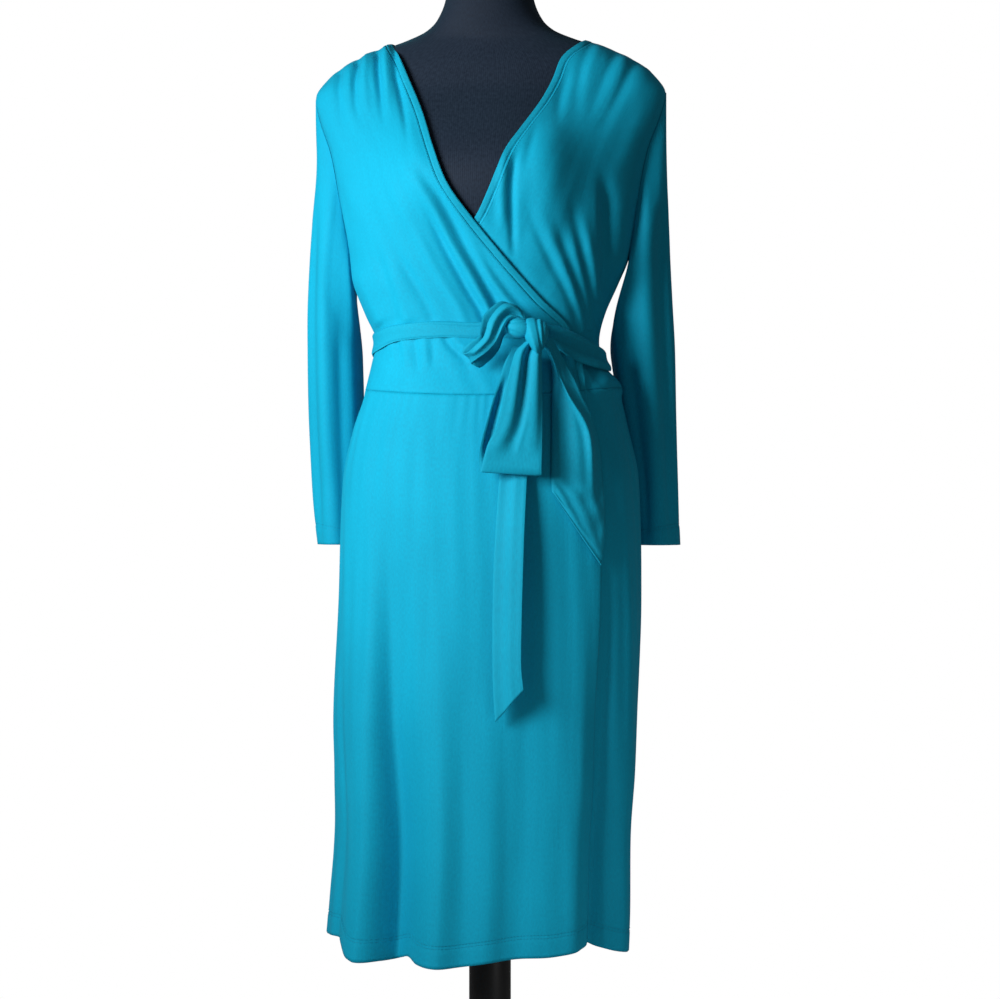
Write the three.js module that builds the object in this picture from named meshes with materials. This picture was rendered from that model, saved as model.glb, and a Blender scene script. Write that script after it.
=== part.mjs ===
// A jersey wrap dress with bracelet sleeves and a tied sash, worn by a limbless dress form on a stand.
// Millimetres, +Z up, the floor at z = 0, the front of the dress facing -Y, left and right as the viewer sees them.
// The dress follows one surface, place(angle, z), where angle runs from the front centre towards +X.
import * as THREE from "three";

// Driving sizes
const CLOTH = 1.5; // thickness of the jersey wall
const SEAM_ANGLE = 0.15; // degrees that each panel stops short of a side or shoulder seam
const SEAM_HALF = 0.15; // half the space left at the waist seam
const LAP = 4; // how far the upper wrap front lies outside the under one
const BAND_WIDE = 8; // width of the neck band
const BAND_EXTRA = 0.4; // how far the band stands proud on each face
const BAND_GAP = 0.5; // space between a panel and its band
const WAIST_SEAM = 964;
const HEM = 340;
const HEM_SLOPE = 0.05; // the hem rises this much for each millimetre towards +X
const UNDERARM = 1119;
const SHOULDER_POINT = 1307;
const NECK_POINT = 1366;
const BACK_NECK = 1374;
const CUFF = 796;
const ARMHOLE_FRONT = 12; // degrees that the armhole cuts into the front
const ARMHOLE_BACK = 26;
const SLEEVE_CLEAR = 2; // the sleeve head starts this far outside the armhole
const SIDE_SHARE = 0.39; // share of a bodice row's run that lies below the underarm
// Rows of the bodice as shares of that run, closer together where the shoulder turns over
const BODICE_ROWS = [
  0, 0.056, 0.111, 0.167, 0.223, 0.279, 0.334, 0.39, 0.452, 0.514, 0.576, 0.638, 0.7, 0.762, 0.824, 0.886, 0.945, 0.967,
  0.983, 0.9915, 0.9957, 1,
];
const SKIRT_EDGE = 48; // angle of the upper skirt front's free edge
const SKIRT_LAP = -45; // angle that the under skirt front reaches beneath the upper one
const SQUARE = 0.035; // how much fuller than an ellipse a section is between its axes
const BUST = { height: 1213, flat: 62, wide: 50, tall: 62, out: 31 };
const BELT_THICK = 3;
const BELT_GAP = 2.7;
const FORM_BOTTOM = 770;
const FORM_TOP = 1452;
const POLE_RADIUS = 24;
const BASE = { radius: 190, thick: 18, socket: 40, rise: 26 };

const TEAL = { color: 0x0d9fb4, roughness: 0.85, metalness: 0 };
const BLACK_JERSEY = { color: 0x15171d, roughness: 0.9, metalness: 0 };
const BLACK_METAL = { color: 0x0b0b0c, roughness: 0.4, metalness: 0.3 };

// Sections of the dress: half width, front depth, back depth, sideways middle,
// and the room left inside for the form: all round, and more at the sides
const SECTIONS = [
  { z: 330, wide: 174, front: 137, back: 148, mid: -14, ease: 8, side: 0 },
  { z: 376, wide: 173, front: 135, back: 147, mid: -12, ease: 8, side: 0 },
  { z: 463, wide: 172, front: 131, back: 145, mid: -8, ease: 8, side: 0 },
  { z: 600, wide: 172, front: 126, back: 141, mid: -5, ease: 8, side: 0 },
  { z: 728, wide: 172, front: 121, back: 137, mid: 0, ease: 7, side: 0 },
  { z: 866, wide: 168, front: 116, back: 130, mid: 1, ease: 6, side: 0 },
  { z: 923, wide: 156, front: 111, back: 120, mid: 1, ease: 6, side: 0 },
  { z: 964, wide: 144, front: 105, back: 108, mid: 3, ease: 6, side: 0 },
  { z: 1000, wide: 131, front: 98, back: 96, mid: -2, ease: 5, side: 0 },
  { z: 1025, wide: 126, front: 95, back: 90, mid: -2, ease: 4, side: 0 },
  { z: 1056, wide: 136, front: 97, back: 93, mid: -5, ease: 5, side: 1 },
  { z: 1090, wide: 150, front: 101, back: 99, mid: -4, ease: 5, side: 2 },
  { z: 1119, wide: 158, front: 104, back: 105, mid: 0, ease: 4, side: 3 },
  { z: 1184, wide: 172, front: 100, back: 112, mid: 0, ease: 3.5, side: 4 },
  { z: 1240, wide: 183, front: 88, back: 112, mid: 0, ease: 3.2, side: 4 },
  { z: 1280, wide: 196, front: 74, back: 106, mid: 0, ease: 2.6, side: 2 },
  { z: 1307, wide: 200, front: 63, back: 92, mid: 0, ease: 3.6, side: 0.5 },
  { z: 1322, wide: 191, front: 59, back: 85, mid: 0, ease: 4, side: 0 },
  { z: 1337, wide: 175, front: 55, back: 79, mid: 0, ease: 4.2, side: 0 },
  { z: 1350, wide: 152, front: 51, back: 74, mid: 0, ease: 4.7, side: 0 },
  { z: 1359, wide: 131, front: 49, back: 71, mid: 0, ease: 5.6, side: 0 },
  { z: 1368, wide: 104, front: 48, back: 68, mid: 0, ease: 6.2, side: 0 },
  { z: 1378, wide: 80, front: 49, back: 65, mid: 0, ease: 5, side: 0 },
  { z: 1392, wide: 63, front: 50, back: 59, mid: 0, ease: 2, side: 0 },
  { z: 1418, wide: 51, front: 52, back: 48, mid: 0, ease: 0.6, side: 0 },
  { z: 1460, wide: 48, front: 55, back: 41, mid: 0, ease: 0.6, side: 0 },
];

// Free edge of the upper wrap front, from the waist seam up to the neck point
const UPPER_EDGE = [
  { x: 112, z: 964 },
  { x: 105, z: 1004 },
  { x: 94, z: 1037 },
  { x: 66, z: 1067 },
  { x: 40, z: 1097 },
  { x: 14, z: 1128 },
  { x: -7, z: 1155 },
  { x: -33, z: 1192 },
  { x: -50, z: 1232 },
  { x: -66, z: 1275 },
  { x: -84, z: 1315 },
  { x: -97, z: 1343 },
];
// Free edge of the under wrap front, from the waist seam up to the neck point
const UNDER_EDGE = [
  { x: -108, z: 964 },
  { x: -104, z: 1004 },
  { x: -94, z: 1037 },
  { x: -70, z: 1075 },
  { x: -40, z: 1110 },
  { x: -4, z: 1155 },
  { x: 10, z: 1181 },
  { x: 20, z: 1204 },
  { x: 31, z: 1231 },
  { x: 46, z: 1256 },
  { x: 65, z: 1288 },
  { x: 77, z: 1315 },
  { x: 87, z: 1342 },
];

// Soft ridges in the bodice cloth, each from a low point to a high point as seen from the front or the back
const UPPER_RIDGES = [
  { x1: 30, z1: 1052, x2: -34, z2: 1168, wide: 9, out: 4.5 },
  { x1: 8, z1: 1056, x2: -62, z2: 1180, wide: 10, out: 3.5 },
  { x1: -22, z1: 1052, x2: -88, z2: 1150, wide: 11, out: 3 },
  { x1: 62, z1: 1052, x2: 18, z2: 1104, wide: 7, out: 3.5 },
  { x1: -84, z1: 1262, x2: -106, z2: 1350, wide: 7, out: 3.5 },
  { x1: -104, z1: 1240, x2: -128, z2: 1347, wide: 7, out: 4 },
  { x1: -128, z1: 1246, x2: -154, z2: 1338, wide: 8, out: 4 },
  { x1: -70, z1: 968, x2: -60, z2: 1004, wide: 7, out: 2.5 },
  { x1: -20, z1: 968, x2: -26, z2: 1002, wide: 8, out: 2.5 },
];
const UNDER_RIDGES = [
  { x1: 94, z1: 1050, x2: 62, z2: 1190, wide: 8, out: 5 },
  { x1: 110, z1: 1046, x2: 96, z2: 1170, wide: 7, out: 4.5 },
  { x1: 124, z1: 1050, x2: 122, z2: 1150, wide: 7, out: 4 },
  { x1: 46, z1: 1118, x2: 44, z2: 1228, wide: 8, out: 5 },
  { x1: 70, z1: 1240, x2: 98, z2: 1350, wide: 7, out: 3.5 },
  { x1: 86, z1: 1244, x2: 122, z2: 1350, wide: 7, out: 4 },
  { x1: 108, z1: 1240, x2: 146, z2: 1344, wide: 8, out: 4 },
];
const BACK_RIDGES = [
  { x1: -40, z1: 1045, x2: -72, z2: 1180, wide: 12, out: 3 },
  { x1: 44, z1: 1045, x2: 70, z2: 1170, wide: 12, out: 3 },
  { x1: -4, z1: 1042, x2: 2, z2: 1120, wide: 12, out: 2.5 },
  { x1: -80, z1: 968, x2: -64, z2: 1006, wide: 9, out: 2.5 },
  { x1: 22, z1: 968, x2: 18, z2: 1004, wide: 9, out: 2.5 },
  { x1: 84, z1: 968, x2: 70, z2: 1004, wide: 9, out: 2.5 },
];

// Folds of the skirt: angle at the hem, angle where the fold starts, height of that start, width in degrees
// and depth at the hem, where a ridge is positive
const SKIRT_FOLDS = [
  { hem: -90, top: -86, from: 700, wide: 11, out: 9 },
  { hem: -65, top: -62, from: 640, wide: 8, out: -11 },
  { hem: -48, top: -46, from: 760, wide: 8, out: 8 },
  { hem: -35, top: -40, from: 740, wide: 7, out: -9 },
  { hem: -19, top: -22, from: 800, wide: 10, out: 6 },
  { hem: 4, top: 2, from: 700, wide: 9, out: -5 },
  { hem: 15, top: 12, from: 720, wide: 6, out: 3.5 },
  { hem: 27, top: 24, from: 860, wide: 7, out: -6 },
  { hem: 38, top: 36, from: 860, wide: 7, out: 6 },
  { hem: 56, top: 56, from: 800, wide: 6, out: -6 },
  { hem: 67, top: 68, from: 860, wide: 7, out: 6 },
  { hem: 79, top: 78, from: 800, wide: 7, out: -6 },
  { hem: 93, top: 90, from: 800, wide: 8, out: 6 },
  { hem: 109, top: 107, from: 720, wide: 8, out: -7 },
  { hem: 126, top: 124, from: 780, wide: 9, out: 7 },
  { hem: 144, top: 145, from: 700, wide: 8, out: -7 },
  { hem: 161, top: 163, from: 800, wide: 9, out: 7 },
  { hem: 180, top: 181, from: 760, wide: 9, out: -7 },
  { hem: 199, top: 197, from: 820, wide: 9, out: 8 },
  { hem: 217, top: 216, from: 740, wide: 9, out: -8 },
  { hem: 235, top: 237, from: 760, wide: 9, out: 7 },
  { hem: 252, top: 254, from: 700, wide: 8, out: -8 },
];

// Sleeves: outer and inner sides as distances from the middle of the dress, the place of the tube's own middle
// behind it, and half its depth
const SLEEVE_LEFT = [
  { z: 790, outer: 209, inner: 160, back: 79, deep: 42 },
  { z: 866, outer: 211, inner: 158, back: 76, deep: 42 },
  { z: 940, outer: 211, inner: 154, back: 66, deep: 44 },
  { z: 1015, outer: 209, inner: 152, back: 54, deep: 46 },
  { z: 1073, outer: 208, inner: 157, back: 44, deep: 45 },
  { z: 1165, outer: 202, inner: 163, back: 25, deep: 45 },
  { z: 1240, outer: 197, inner: 160, back: 14, deep: 42 },
  { z: 1307, outer: 201, inner: 165, back: 4, deep: 36 },
];
const SLEEVE_RIGHT = [
  { z: 790, outer: 215, inner: 163, back: 79, deep: 42 },
  { z: 866, outer: 213, inner: 160, back: 76, deep: 42 },
  { z: 940, outer: 212, inner: 155, back: 67, deep: 44 },
  { z: 1015, outer: 211, inner: 150, back: 56, deep: 46 },
  { z: 1073, outer: 208, inner: 149, back: 44, deep: 47 },
  { z: 1165, outer: 205, inner: 157, back: 25, deep: 46 },
  { z: 1240, outer: 202, inner: 160, back: 14, deep: 42 },
  { z: 1307, outer: 201, inner: 165, back: 4, deep: 36 },
];

// The sash round the waist: middle height and half height of the band
const BELT = [
  { angle: -180, z: 1014, half: 13 },
  { angle: -90, z: 1024, half: 12 },
  { angle: -45, z: 1033, half: 11 },
  { angle: 0, z: 1031, half: 10 },
  { angle: 35, z: 1029, half: 10 },
  { angle: 50, z: 1026, half: 10 },
  { angle: 62, z: 1018, half: 10 },
  { angle: 75, z: 1010, half: 11 },
  { angle: 90, z: 1002, half: 12 },
  { angle: 180, z: 1014, half: 13 },
];

// The tied sash: left and right edge of each ribbon from the knot outwards, and for a loop on and back to the knot
const SIDE_LOOP = [
  { xl: 48.2, zl: 1049, yl: -114, xr: 40.2, zr: 1030, yr: -115 },
  { xl: 24, zl: 1057, yl: -113, xr: 26, zr: 1030, yr: -116 },
  { xl: 9, zl: 1043, yl: -116, xr: 18, zr: 1020, yr: -117 },
  { xl: 3, zl: 1026, yl: -118, xr: 14, zr: 1006, yr: -118 },
  { xl: -5, zl: 1014, yl: -120, xr: 6, zr: 993, yr: -120 },
  { xl: -14, zl: 1006, yl: -124, xr: 1, zr: 986, yr: -125 },
  { xl: -11, zl: 1006, yl: -132, xr: 4, zr: 986, yr: -132 },
  { xl: 5, zl: 1018, yl: -135, xr: 14, zr: 994, yr: -135 },
  { xl: 12, zl: 1030, yl: -136, xr: 21, zr: 1006, yr: -137 },
  { xl: 15, zl: 1045, yl: -137, xr: 28, zr: 1018, yr: -138 },
  { xl: 26, zl: 1058, yl: -135, xr: 36, zr: 1030, yr: -137 },
  { xl: 48.5, zl: 1049, yl: -124, xr: 40.5, zr: 1031, yr: -124 },
];
const HANGING_LOOP = [
  { xl: 46, zl: 1004.2, yl: -113, xr: 66, zr: 1002, yr: -114 },
  { xl: 27, zl: 984, yl: -116, xr: 66, zr: 980, yr: -117 },
  { xl: 22, zl: 953, yl: -121, xr: 67, zr: 953, yr: -122 },
  { xl: 13, zl: 920, yl: -127, xr: 68, zr: 917, yr: -127 },
  { xl: 5, zl: 890, yl: -130, xr: 69, zr: 886, yr: -130 },
  { xl: 3.5, zl: 875, yl: -133, xr: 70, zr: 872, yr: -133 },
  { xl: 4, zl: 873, yl: -139, xr: 71, zr: 870, yr: -139 },
  { xl: 7, zl: 886, yl: -144, xr: 72, zr: 884, yr: -144 },
  { xl: 20, zl: 917, yl: -144, xr: 72.5, zr: 917, yr: -145 },
  { xl: 30, zl: 953, yl: -141, xr: 72.5, zr: 953, yr: -142 },
  { xl: 36, zl: 983, yl: -136, xr: 72, zr: 983, yr: -138 },
  { xl: 47, zl: 1010.6, yl: -126.5, xr: 71, zr: 1005.6, yr: -126.5 },
];
const LONG_TAIL = [
  { xl: 44, zl: 1005.3, yl: -109, xr: 58, zr: 1004, yr: -109 },
  { xl: 30, zl: 960, yl: -114, xr: 58, zr: 958, yr: -114 },
  { xl: 25, zl: 915, yl: -121, xr: 55, zr: 913, yr: -121 },
  { xl: 23, zl: 863, yl: -126, xr: 52, zr: 863, yr: -126 },
  { xl: 20, zl: 810, yl: -131, xr: 49, zr: 812, yr: -131 },
  { xl: 18, zl: 760, yl: -135, xr: 47.5, zr: 766, yr: -136 },
  { xl: 18, zl: 700, yl: -139, xr: 47, zr: 716, yr: -140 },
  { xl: 19, zl: 640, yl: -142, xr: 47, zr: 668, yr: -143 },
  { xl: 21, zl: 600, yl: -143, xr: 50, zr: 641, yr: -144 },
];
// The wide tail lies on the dress, so its y is how far it stands off in front
const WIDE_TAIL = [
  { xl: 69.5, zl: 1014, yl: 22, xr: 77.5, zr: 1021, yr: 23 },
  { xl: 78, zl: 991, yl: 11, xr: 96, zr: 994, yr: 17 },
  { xl: 80, zl: 969, yl: 9, xr: 111, zr: 967, yr: 17 },
  { xl: 80, zl: 942, yl: 9, xr: 122, zr: 941, yr: 19 },
  { xl: 80, zl: 913, yl: 8, xr: 129, zr: 912, yr: 19 },
  { xl: 80, zl: 884, yl: 8, xr: 132, zr: 883, yr: 18 },
  { xl: 80, zl: 862, yl: 8, xr: 134, zr: 835, yr: 16 },
  { xl: 81, zl: 851, yl: 8, xr: 131, zr: 772, yr: 14 },
];
const KNOT = { x: 59, y: -115, z: 1024, wide: 19, deep: 16.4, tall: 21, lean: 25 };

const degrees = Math.PI / 180;
const mix = (a, b, share) => a + (b - a) * share;
const clamp = (v) => Math.min(1, Math.max(0, v));
const ease = (from, to, v) => {
  const share = clamp((v - from) / (to - from));
  return share * share * (3 - 2 * share);
};
const bell = (v) => Math.exp(-v * v);

// A smooth curve through a table's rows: each column as a cubic with the slopes of its neighbours
function readTable(table, key, value) {
  let i = 0;
  while (i < table.length - 2 && value > table[i + 1][key]) i++;
  const [a, b] = [table[i], table[i + 1]];
  const before = table[Math.max(i - 1, 0)];
  const after = table[Math.min(i + 2, table.length - 1)];
  const span = b[key] - a[key];
  const u = clamp((value - a[key]) / span);
  const row = {};
  for (const column of Object.keys(a)) {
    const slopeA = ((b[column] - before[column]) / (b[key] - before[key])) * span;
    const slopeB = ((after[column] - a[column]) / (after[key] - a[key])) * span;
    row[column] =
      a[column] * (1 + 2 * u) * (1 - u) ** 2 +
      slopeA * u * (1 - u) ** 2 +
      b[column] * u * u * (3 - 2 * u) -
      slopeB * u * u * (1 - u);
  }
  return row;
}

// A table whose rows are points gets a column of the distance run along it, from 0 to 1
function withLength(table, axes) {
  let run = 0;
  const runs = table.map((row, i) => {
    if (i > 0) run += Math.hypot(...axes.map((axis) => row[axis] - table[i - 1][axis]));
    return run;
  });
  return table.map((row, i) => ({ ...row, run: runs[i] / run }));
}

const plump = (angle) => Math.sin(angle) * (1 + SQUARE * Math.sin(2 * angle) ** 2);

// The angle on the front at which the section at height z has the sideways place x
function angleAt(x, z) {
  const section = readTable(SECTIONS, "z", z);
  const goal = Math.min(1, Math.abs(x - section.mid) / section.wide);
  let low = 0;
  let high = Math.PI / 2;
  for (let step = 0; step < 40; step++) {
    const middle = (low + high) / 2;
    if (plump(middle) < goal) low = middle;
    else high = middle;
  }
  return (Math.sign(x - section.mid) * low) / degrees;
}

// The dress surface: an ellipse-like section at each height, with the bust added to its front
function surface(angle, z) {
  const a = angle * degrees;
  const section = readTable(SECTIONS, "z", z);
  const depth = Math.cos(a) > 0 ? section.front : section.back;
  const full = 1 + SQUARE * Math.sin(2 * a) ** 2;
  const x = section.mid + section.wide * Math.sin(a) * full;
  const side = Math.max(0, Math.abs(x) - BUST.flat) / BUST.wide;
  const bust = BUST.out * bell(side) * bell((z - BUST.height) / BUST.tall) * ease(0, 0.5, Math.cos(a));
  return new THREE.Vector3(x, -depth * Math.cos(a) * full - bust, z);
}

// The point on that surface, moved out along the surface's normal
function place(angle, z, out) {
  const along = surface(angle + 0.5, z).sub(surface(angle - 0.5, z));
  const up = surface(angle, z + 0.5).sub(surface(angle, z - 0.5));
  const normal = along.cross(up).normalize();
  return surface(angle, z).addScaledVector(normal, out);
}

// Height of the ridges at a point seen from the front or the back, falling off with the distance from each line
function ridges(table, x, z) {
  let out = 0;
  for (const ridge of table) {
    const dx = ridge.x2 - ridge.x1;
    const dz = ridge.z2 - ridge.z1;
    const long = Math.hypot(dx, dz);
    const along = ((x - ridge.x1) * dx + (z - ridge.z1) * dz) / long;
    const across = ((x - ridge.x1) * dz - (z - ridge.z1) * dx) / long;
    const taper = ease(-0.25, 0.25, along / long) * ease(1.2, 0.7, along / long);
    out += ridge.out * bell(across / ridge.wide) * taper;
  }
  return out;
}

function skirtFolds(angle, z) {
  let out = 0;
  for (const fold of SKIRT_FOLDS) {
    const grown = ease(fold.from, HEM, z);
    const centre = mix(fold.top, fold.hem, clamp((fold.from - z) / (fold.from - HEM)));
    const turn = ((((angle - centre) % 360) + 540) % 360) - 180;
    out += fold.out * grown * bell(turn / fold.wide);
  }
  return out;
}

const even = (rows) => Array.from({ length: rows + 1 }, (_, j) => j / rows);

// A closed solid from two faces of a grid: point(s, t, face) with face 0 inside and 1 outside, and t from each share
function wall(columns, shares, point, ring = false) {
  const rows = shares.length - 1;
  const across = ring ? columns : columns + 1;
  const positions = [];
  const id = (i, j, face) => (face * (rows + 1) + j) * across + (i % across);
  for (const face of [0, 1]) {
    for (const t of shares) {
      for (let i = 0; i < across; i++) positions.push(...point(i / columns, t, face).toArray());
    }
  }
  const index = [];
  const apart = (a, b) => Math.hypot(...[0, 1, 2].map((axis) => positions[a * 3 + axis] - positions[b * 3 + axis]));
  const quad = (a, b, c, d) => {
    if (apart(a, c) < apart(b, d)) index.push(a, b, c, a, c, d);
    else index.push(a, b, d, b, c, d);
  };
  for (let j = 0; j < rows; j++) {
    for (let i = 0; i < columns; i++) {
      quad(id(i, j, 1), id(i + 1, j, 1), id(i + 1, j + 1, 1), id(i, j + 1, 1));
      quad(id(i, j, 0), id(i, j + 1, 0), id(i + 1, j + 1, 0), id(i + 1, j, 0));
    }
  }
  for (let i = 0; i < columns; i++) {
    quad(id(i, 0, 0), id(i + 1, 0, 0), id(i + 1, 0, 1), id(i, 0, 1));
    quad(id(i, rows, 1), id(i + 1, rows, 1), id(i + 1, rows, 0), id(i, rows, 0));
  }
  for (let j = 0; j < rows && !ring; j++) {
    quad(id(0, j, 1), id(0, j + 1, 1), id(0, j + 1, 0), id(0, j, 0));
    quad(id(columns, j, 0), id(columns, j + 1, 0), id(columns, j + 1, 1), id(columns, j, 1));
  }
  return facingOut(positions, index);
}

// Turns every triangle round where they enclose a negative volume
function facingOut(positions, index) {
  const corner = (n) => new THREE.Vector3().fromArray(positions, index[n] * 3);
  let volume = 0;
  for (let n = 0; n < index.length; n += 3) volume += corner(n).dot(corner(n + 1).cross(corner(n + 2)));
  if (volume < 0) index.reverse();
  const geometry = new THREE.BufferGeometry();
  geometry.setAttribute("position", new THREE.Float32BufferAttribute(positions, 3));
  geometry.setIndex(index);
  return geometry;
}

const group = new THREE.Group();
group.name = "wrap_dress_on_dress_form";
function add(name, geometry, finish) {
  const mesh = new THREE.Mesh(geometry, new THREE.MeshStandardMaterial(finish));
  mesh.name = name;
  group.add(mesh);
  return mesh;
}

// Armhole in angle and height: turn 0 at the shoulder point, 90 at the front, 180 at the underarm
function armhole(turn) {
  const t = turn * degrees;
  const cut = Math.sin(t) > 0 ? ARMHOLE_FRONT : ARMHOLE_BACK;
  const middle = (UNDERARM + SHOULDER_POINT) / 2;
  const half = (SHOULDER_POINT - UNDERARM) / 2;
  return { angle: 90 - cut * Math.sin(t), z: middle + half * Math.cos(t) };
}

// Side seam and armhole as one edge, from the waist seam to the shoulder point; facing is 1 for the front, -1 for the back
function sideEdge(t, facing) {
  const from = WAIST_SEAM + SEAM_HALF;
  if (t <= SIDE_SHARE) return { angle: 90 - facing * SEAM_ANGLE, z: mix(from, UNDERARM, t / SIDE_SHARE) };
  const turn = 180 * (1 - (t - SIDE_SHARE) / (1 - SIDE_SHARE));
  const edge = armhole(facing * turn);
  return { angle: edge.angle - facing * SEAM_ANGLE, z: edge.z };
}

// A wrap front between its side edge and its free edge. hand is -1 for the one that hangs from the left shoulder
const neckEnd = (hand) => [
  { x: hand * 109, z: 1362.6 },
  { x: hand * 110, z: 1364.4 },
  { x: hand * 112, z: NECK_POINT },
];
const upperEdge = withLength([...UPPER_EDGE, ...neckEnd(-1)], ["x", "z"]);
const underEdge = withLength([...UNDER_EDGE, ...neckEnd(1)], ["x", "z"]);
function frontPoint(hand, edge, s, t) {
  const side = sideEdge(t, 1);
  const free = readTable(edge, "run", t);
  const atSeam = angleAt(free.x, free.z);
  const limit = 90 - SEAM_ANGLE;
  const freeAngle = Math.min(limit, Math.max(-limit, atSeam));
  return { angle: mix(hand * side.angle, freeAngle, s), z: mix(side.z, free.z + (t < 0.01 ? SEAM_HALF : 0), s) };
}

// Where the band starts along a row, so that it is BAND_WIDE wide square to the free edge
function bandStart(grid, t) {
  const at = (s, r) => {
    const p = grid(s, r);
    return surface(p.angle, p.z);
  };
  const [low, high] = [Math.max(0, t - 0.02), Math.min(1, t + 0.02)];
  const row = at(1, t).sub(at(0.95, t)).divideScalar(0.05);
  const edge = at(1, high).sub(at(1, low)).normalize();
  return 1 - BAND_WIDE / row.cross(edge).length();
}

const upperGrid = (s, t) => frontPoint(-1, upperEdge, s, t);
const underGrid = (s, t) => frontPoint(1, underEdge, s, t);
// How far each front lies outside the dress surface: the upper one follows what it covers
const lapAt = (s, t) => LAP * ease(0, 0.17, s) * ease(1, 0.88, t);
// Ridges fade out beneath the sash, and those of the under front where the upper one covers it
const beltAt = (angle) => readTable(BELT, "angle", angle > 180 ? angle - 360 : angle);
const besideBelt = (angle, z) => ease(13, 30, Math.abs(z - beltAt(angle).z));
const bare = (x, z) => ease(4, 32, x - readTable(UPPER_EDGE, "z", z).x);

function upperPoint(s, t, extra) {
  const p = upperGrid(s, t);
  const { x, z } = surface(p.angle, p.z);
  const folds = ridges(UPPER_RIDGES, x, z) * besideBelt(p.angle, p.z) * ease(0, 0.12, s);
  return place(p.angle, p.z, lapAt(s, t) + folds + extra);
}
function underPoint(s, t, extra) {
  const p = underGrid(s, t);
  const { x, z } = surface(p.angle, p.z);
  const folds = ridges(UNDER_RIDGES, x, z) * besideBelt(p.angle, p.z) * bare(x, z) * ease(0, 0.12, s);
  return place(p.angle, p.z, folds + extra);
}

// A front panel stops short of its band, and the band is the strip from there to the free edge
function addFront(name, grid, point, columns) {
  const gapShare = BAND_GAP / BAND_WIDE;
  const panel = (s, t, face) => {
    const start = bandStart(grid, t);
    return point(s * (start - gapShare * (1 - start)), t, face * CLOTH);
  };
  const band = (s, t, face) => {
    const start = bandStart(grid, t);
    return point(mix(start, 1, s), t, face * (CLOTH + 2 * BAND_EXTRA) - BAND_EXTRA);
  };
  add("front_" + name, wall(columns, BODICE_ROWS, panel), TEAL);
  add("band_" + name, wall(2, BODICE_ROWS, band), TEAL);
}
addFront("upper", upperGrid, upperPoint, 20);
addFront("under", underGrid, underPoint, 18);

// The bodice back as a patch between its four edges: the two side edges, the waist seam, and the top edge of
// shoulder seam, back neck and shoulder seam
const BACK_COLUMNS = 24;
const SHOULDER_COLUMNS = 5;
const NECK_SHARE = SHOULDER_COLUMNS / BACK_COLUMNS; // share of the top edge that each shoulder seam takes
const BAND_AT_SHOULDER = 0.35; // the band is this much as high at the shoulder, where the cloth lies nearly flat
function backTop(s, drop) {
  const half = Math.min(s, 1 - s);
  const hand = s < 0.5 ? 1 : -1;
  const along = clamp((half - NECK_SHARE) / (0.5 - NECK_SHARE));
  const turn = 90 * along ** 1.25 + SEAM_ANGLE * (1 - along);
  const neck = mix(NECK_POINT, BACK_NECK, ease(0, 0.7, along)) - drop * mix(BAND_AT_SHOULDER, 1, ease(0, 0.5, along));
  return { angle: 180 - hand * (90 - turn), z: mix(SHOULDER_POINT, neck, clamp(half / NECK_SHARE)) };
}
function backGrid(s, t, drop = 0) {
  const right = sideEdge(t, -1);
  const left = { angle: 360 - right.angle, z: right.z };
  const top = backTop(s, drop);
  const first = sideEdge(0, -1);
  const base = { angle: mix(first.angle, 360 - first.angle, s), z: first.z };
  const patch = (key, a0, a1, b0, b1) =>
    mix(base[key], top[key], t) +
    mix(right[key], left[key], s) -
    mix(mix(a0, a1, s), mix(b0, b1, s), t);
  const [c0, c1] = [first.angle, 360 - first.angle];
  const [d0, d1] = [backTop(0, drop).angle, backTop(1, drop).angle];
  return {
    angle: patch("angle", c0, c1, d0, d1),
    z: patch("z", first.z, first.z, SHOULDER_POINT, SHOULDER_POINT),
  };
}
function backPoint(s, t, extra, drop = 0) {
  const p = backGrid(s, t, drop);
  const { x, z } = surface(p.angle, p.z);
  const inside = ease(0, 0.1, s) * ease(1, 0.9, s) * ease(1, 0.9, t);
  return place(p.angle, p.z, ridges(BACK_RIDGES, x, z) * inside * besideBelt(p.angle, p.z) + extra);
}
const BACK_BAND_DROP = BAND_WIDE + BAND_GAP;
const backPanel = (s, t, face) => backPoint(s, t, face * CLOTH, BACK_BAND_DROP);
add("bodice_back", wall(BACK_COLUMNS, BODICE_ROWS, backPanel), TEAL);
const backBand = (s, t, face) => {
  const p = backTop(mix(NECK_SHARE, 1 - NECK_SHARE, s), mix(BAND_WIDE, 0, t));
  return place(p.angle, p.z, face * (CLOTH + 2 * BAND_EXTRA) - BAND_EXTRA);
};
add("band_back", wall(BACK_COLUMNS - 2 * SHOULDER_COLUMNS, even(1), backBand), TEAL);

// Sleeves: lines from the armhole straight down to the cuff, which draw in to the tube's own section
function sleevePoint(hand, table, s, t, out) {
  const turn = 360 * s;
  const hole = armhole(turn);
  const start = place(hole.angle, hole.z, CLOTH / 2);
  const z = mix(start.z, CUFF, t);
  const tube = readTable(table, "z", z);
  const half = (tube.outer - tube.inner) / 2;
  const c = Math.cos(turn * degrees);
  const n = Math.sin(turn * degrees);
  const drawn = ease(0, 0.34, t);
  const x = mix(start.x + SLEEVE_CLEAR, (tube.outer + tube.inner) / 2 + (half + out) * c, drawn);
  const y = mix(start.y, tube.back - (tube.deep + out) * n, drawn);
  return new THREE.Vector3(hand * (x + (1 - drawn) * out * c), y - (1 - drawn) * out * n, z);
}
const SLEEVE_CREASES = [
  { at: 40, from: 1180, to: 800, wide: 20, out: -3 },
  { at: 75, from: 1230, to: 900, wide: 16, out: 3 },
  { at: 120, from: 1060, to: 800, wide: 18, out: -3 },
  { at: 300, from: 1200, to: 860, wide: 24, out: -3 },
];
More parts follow.
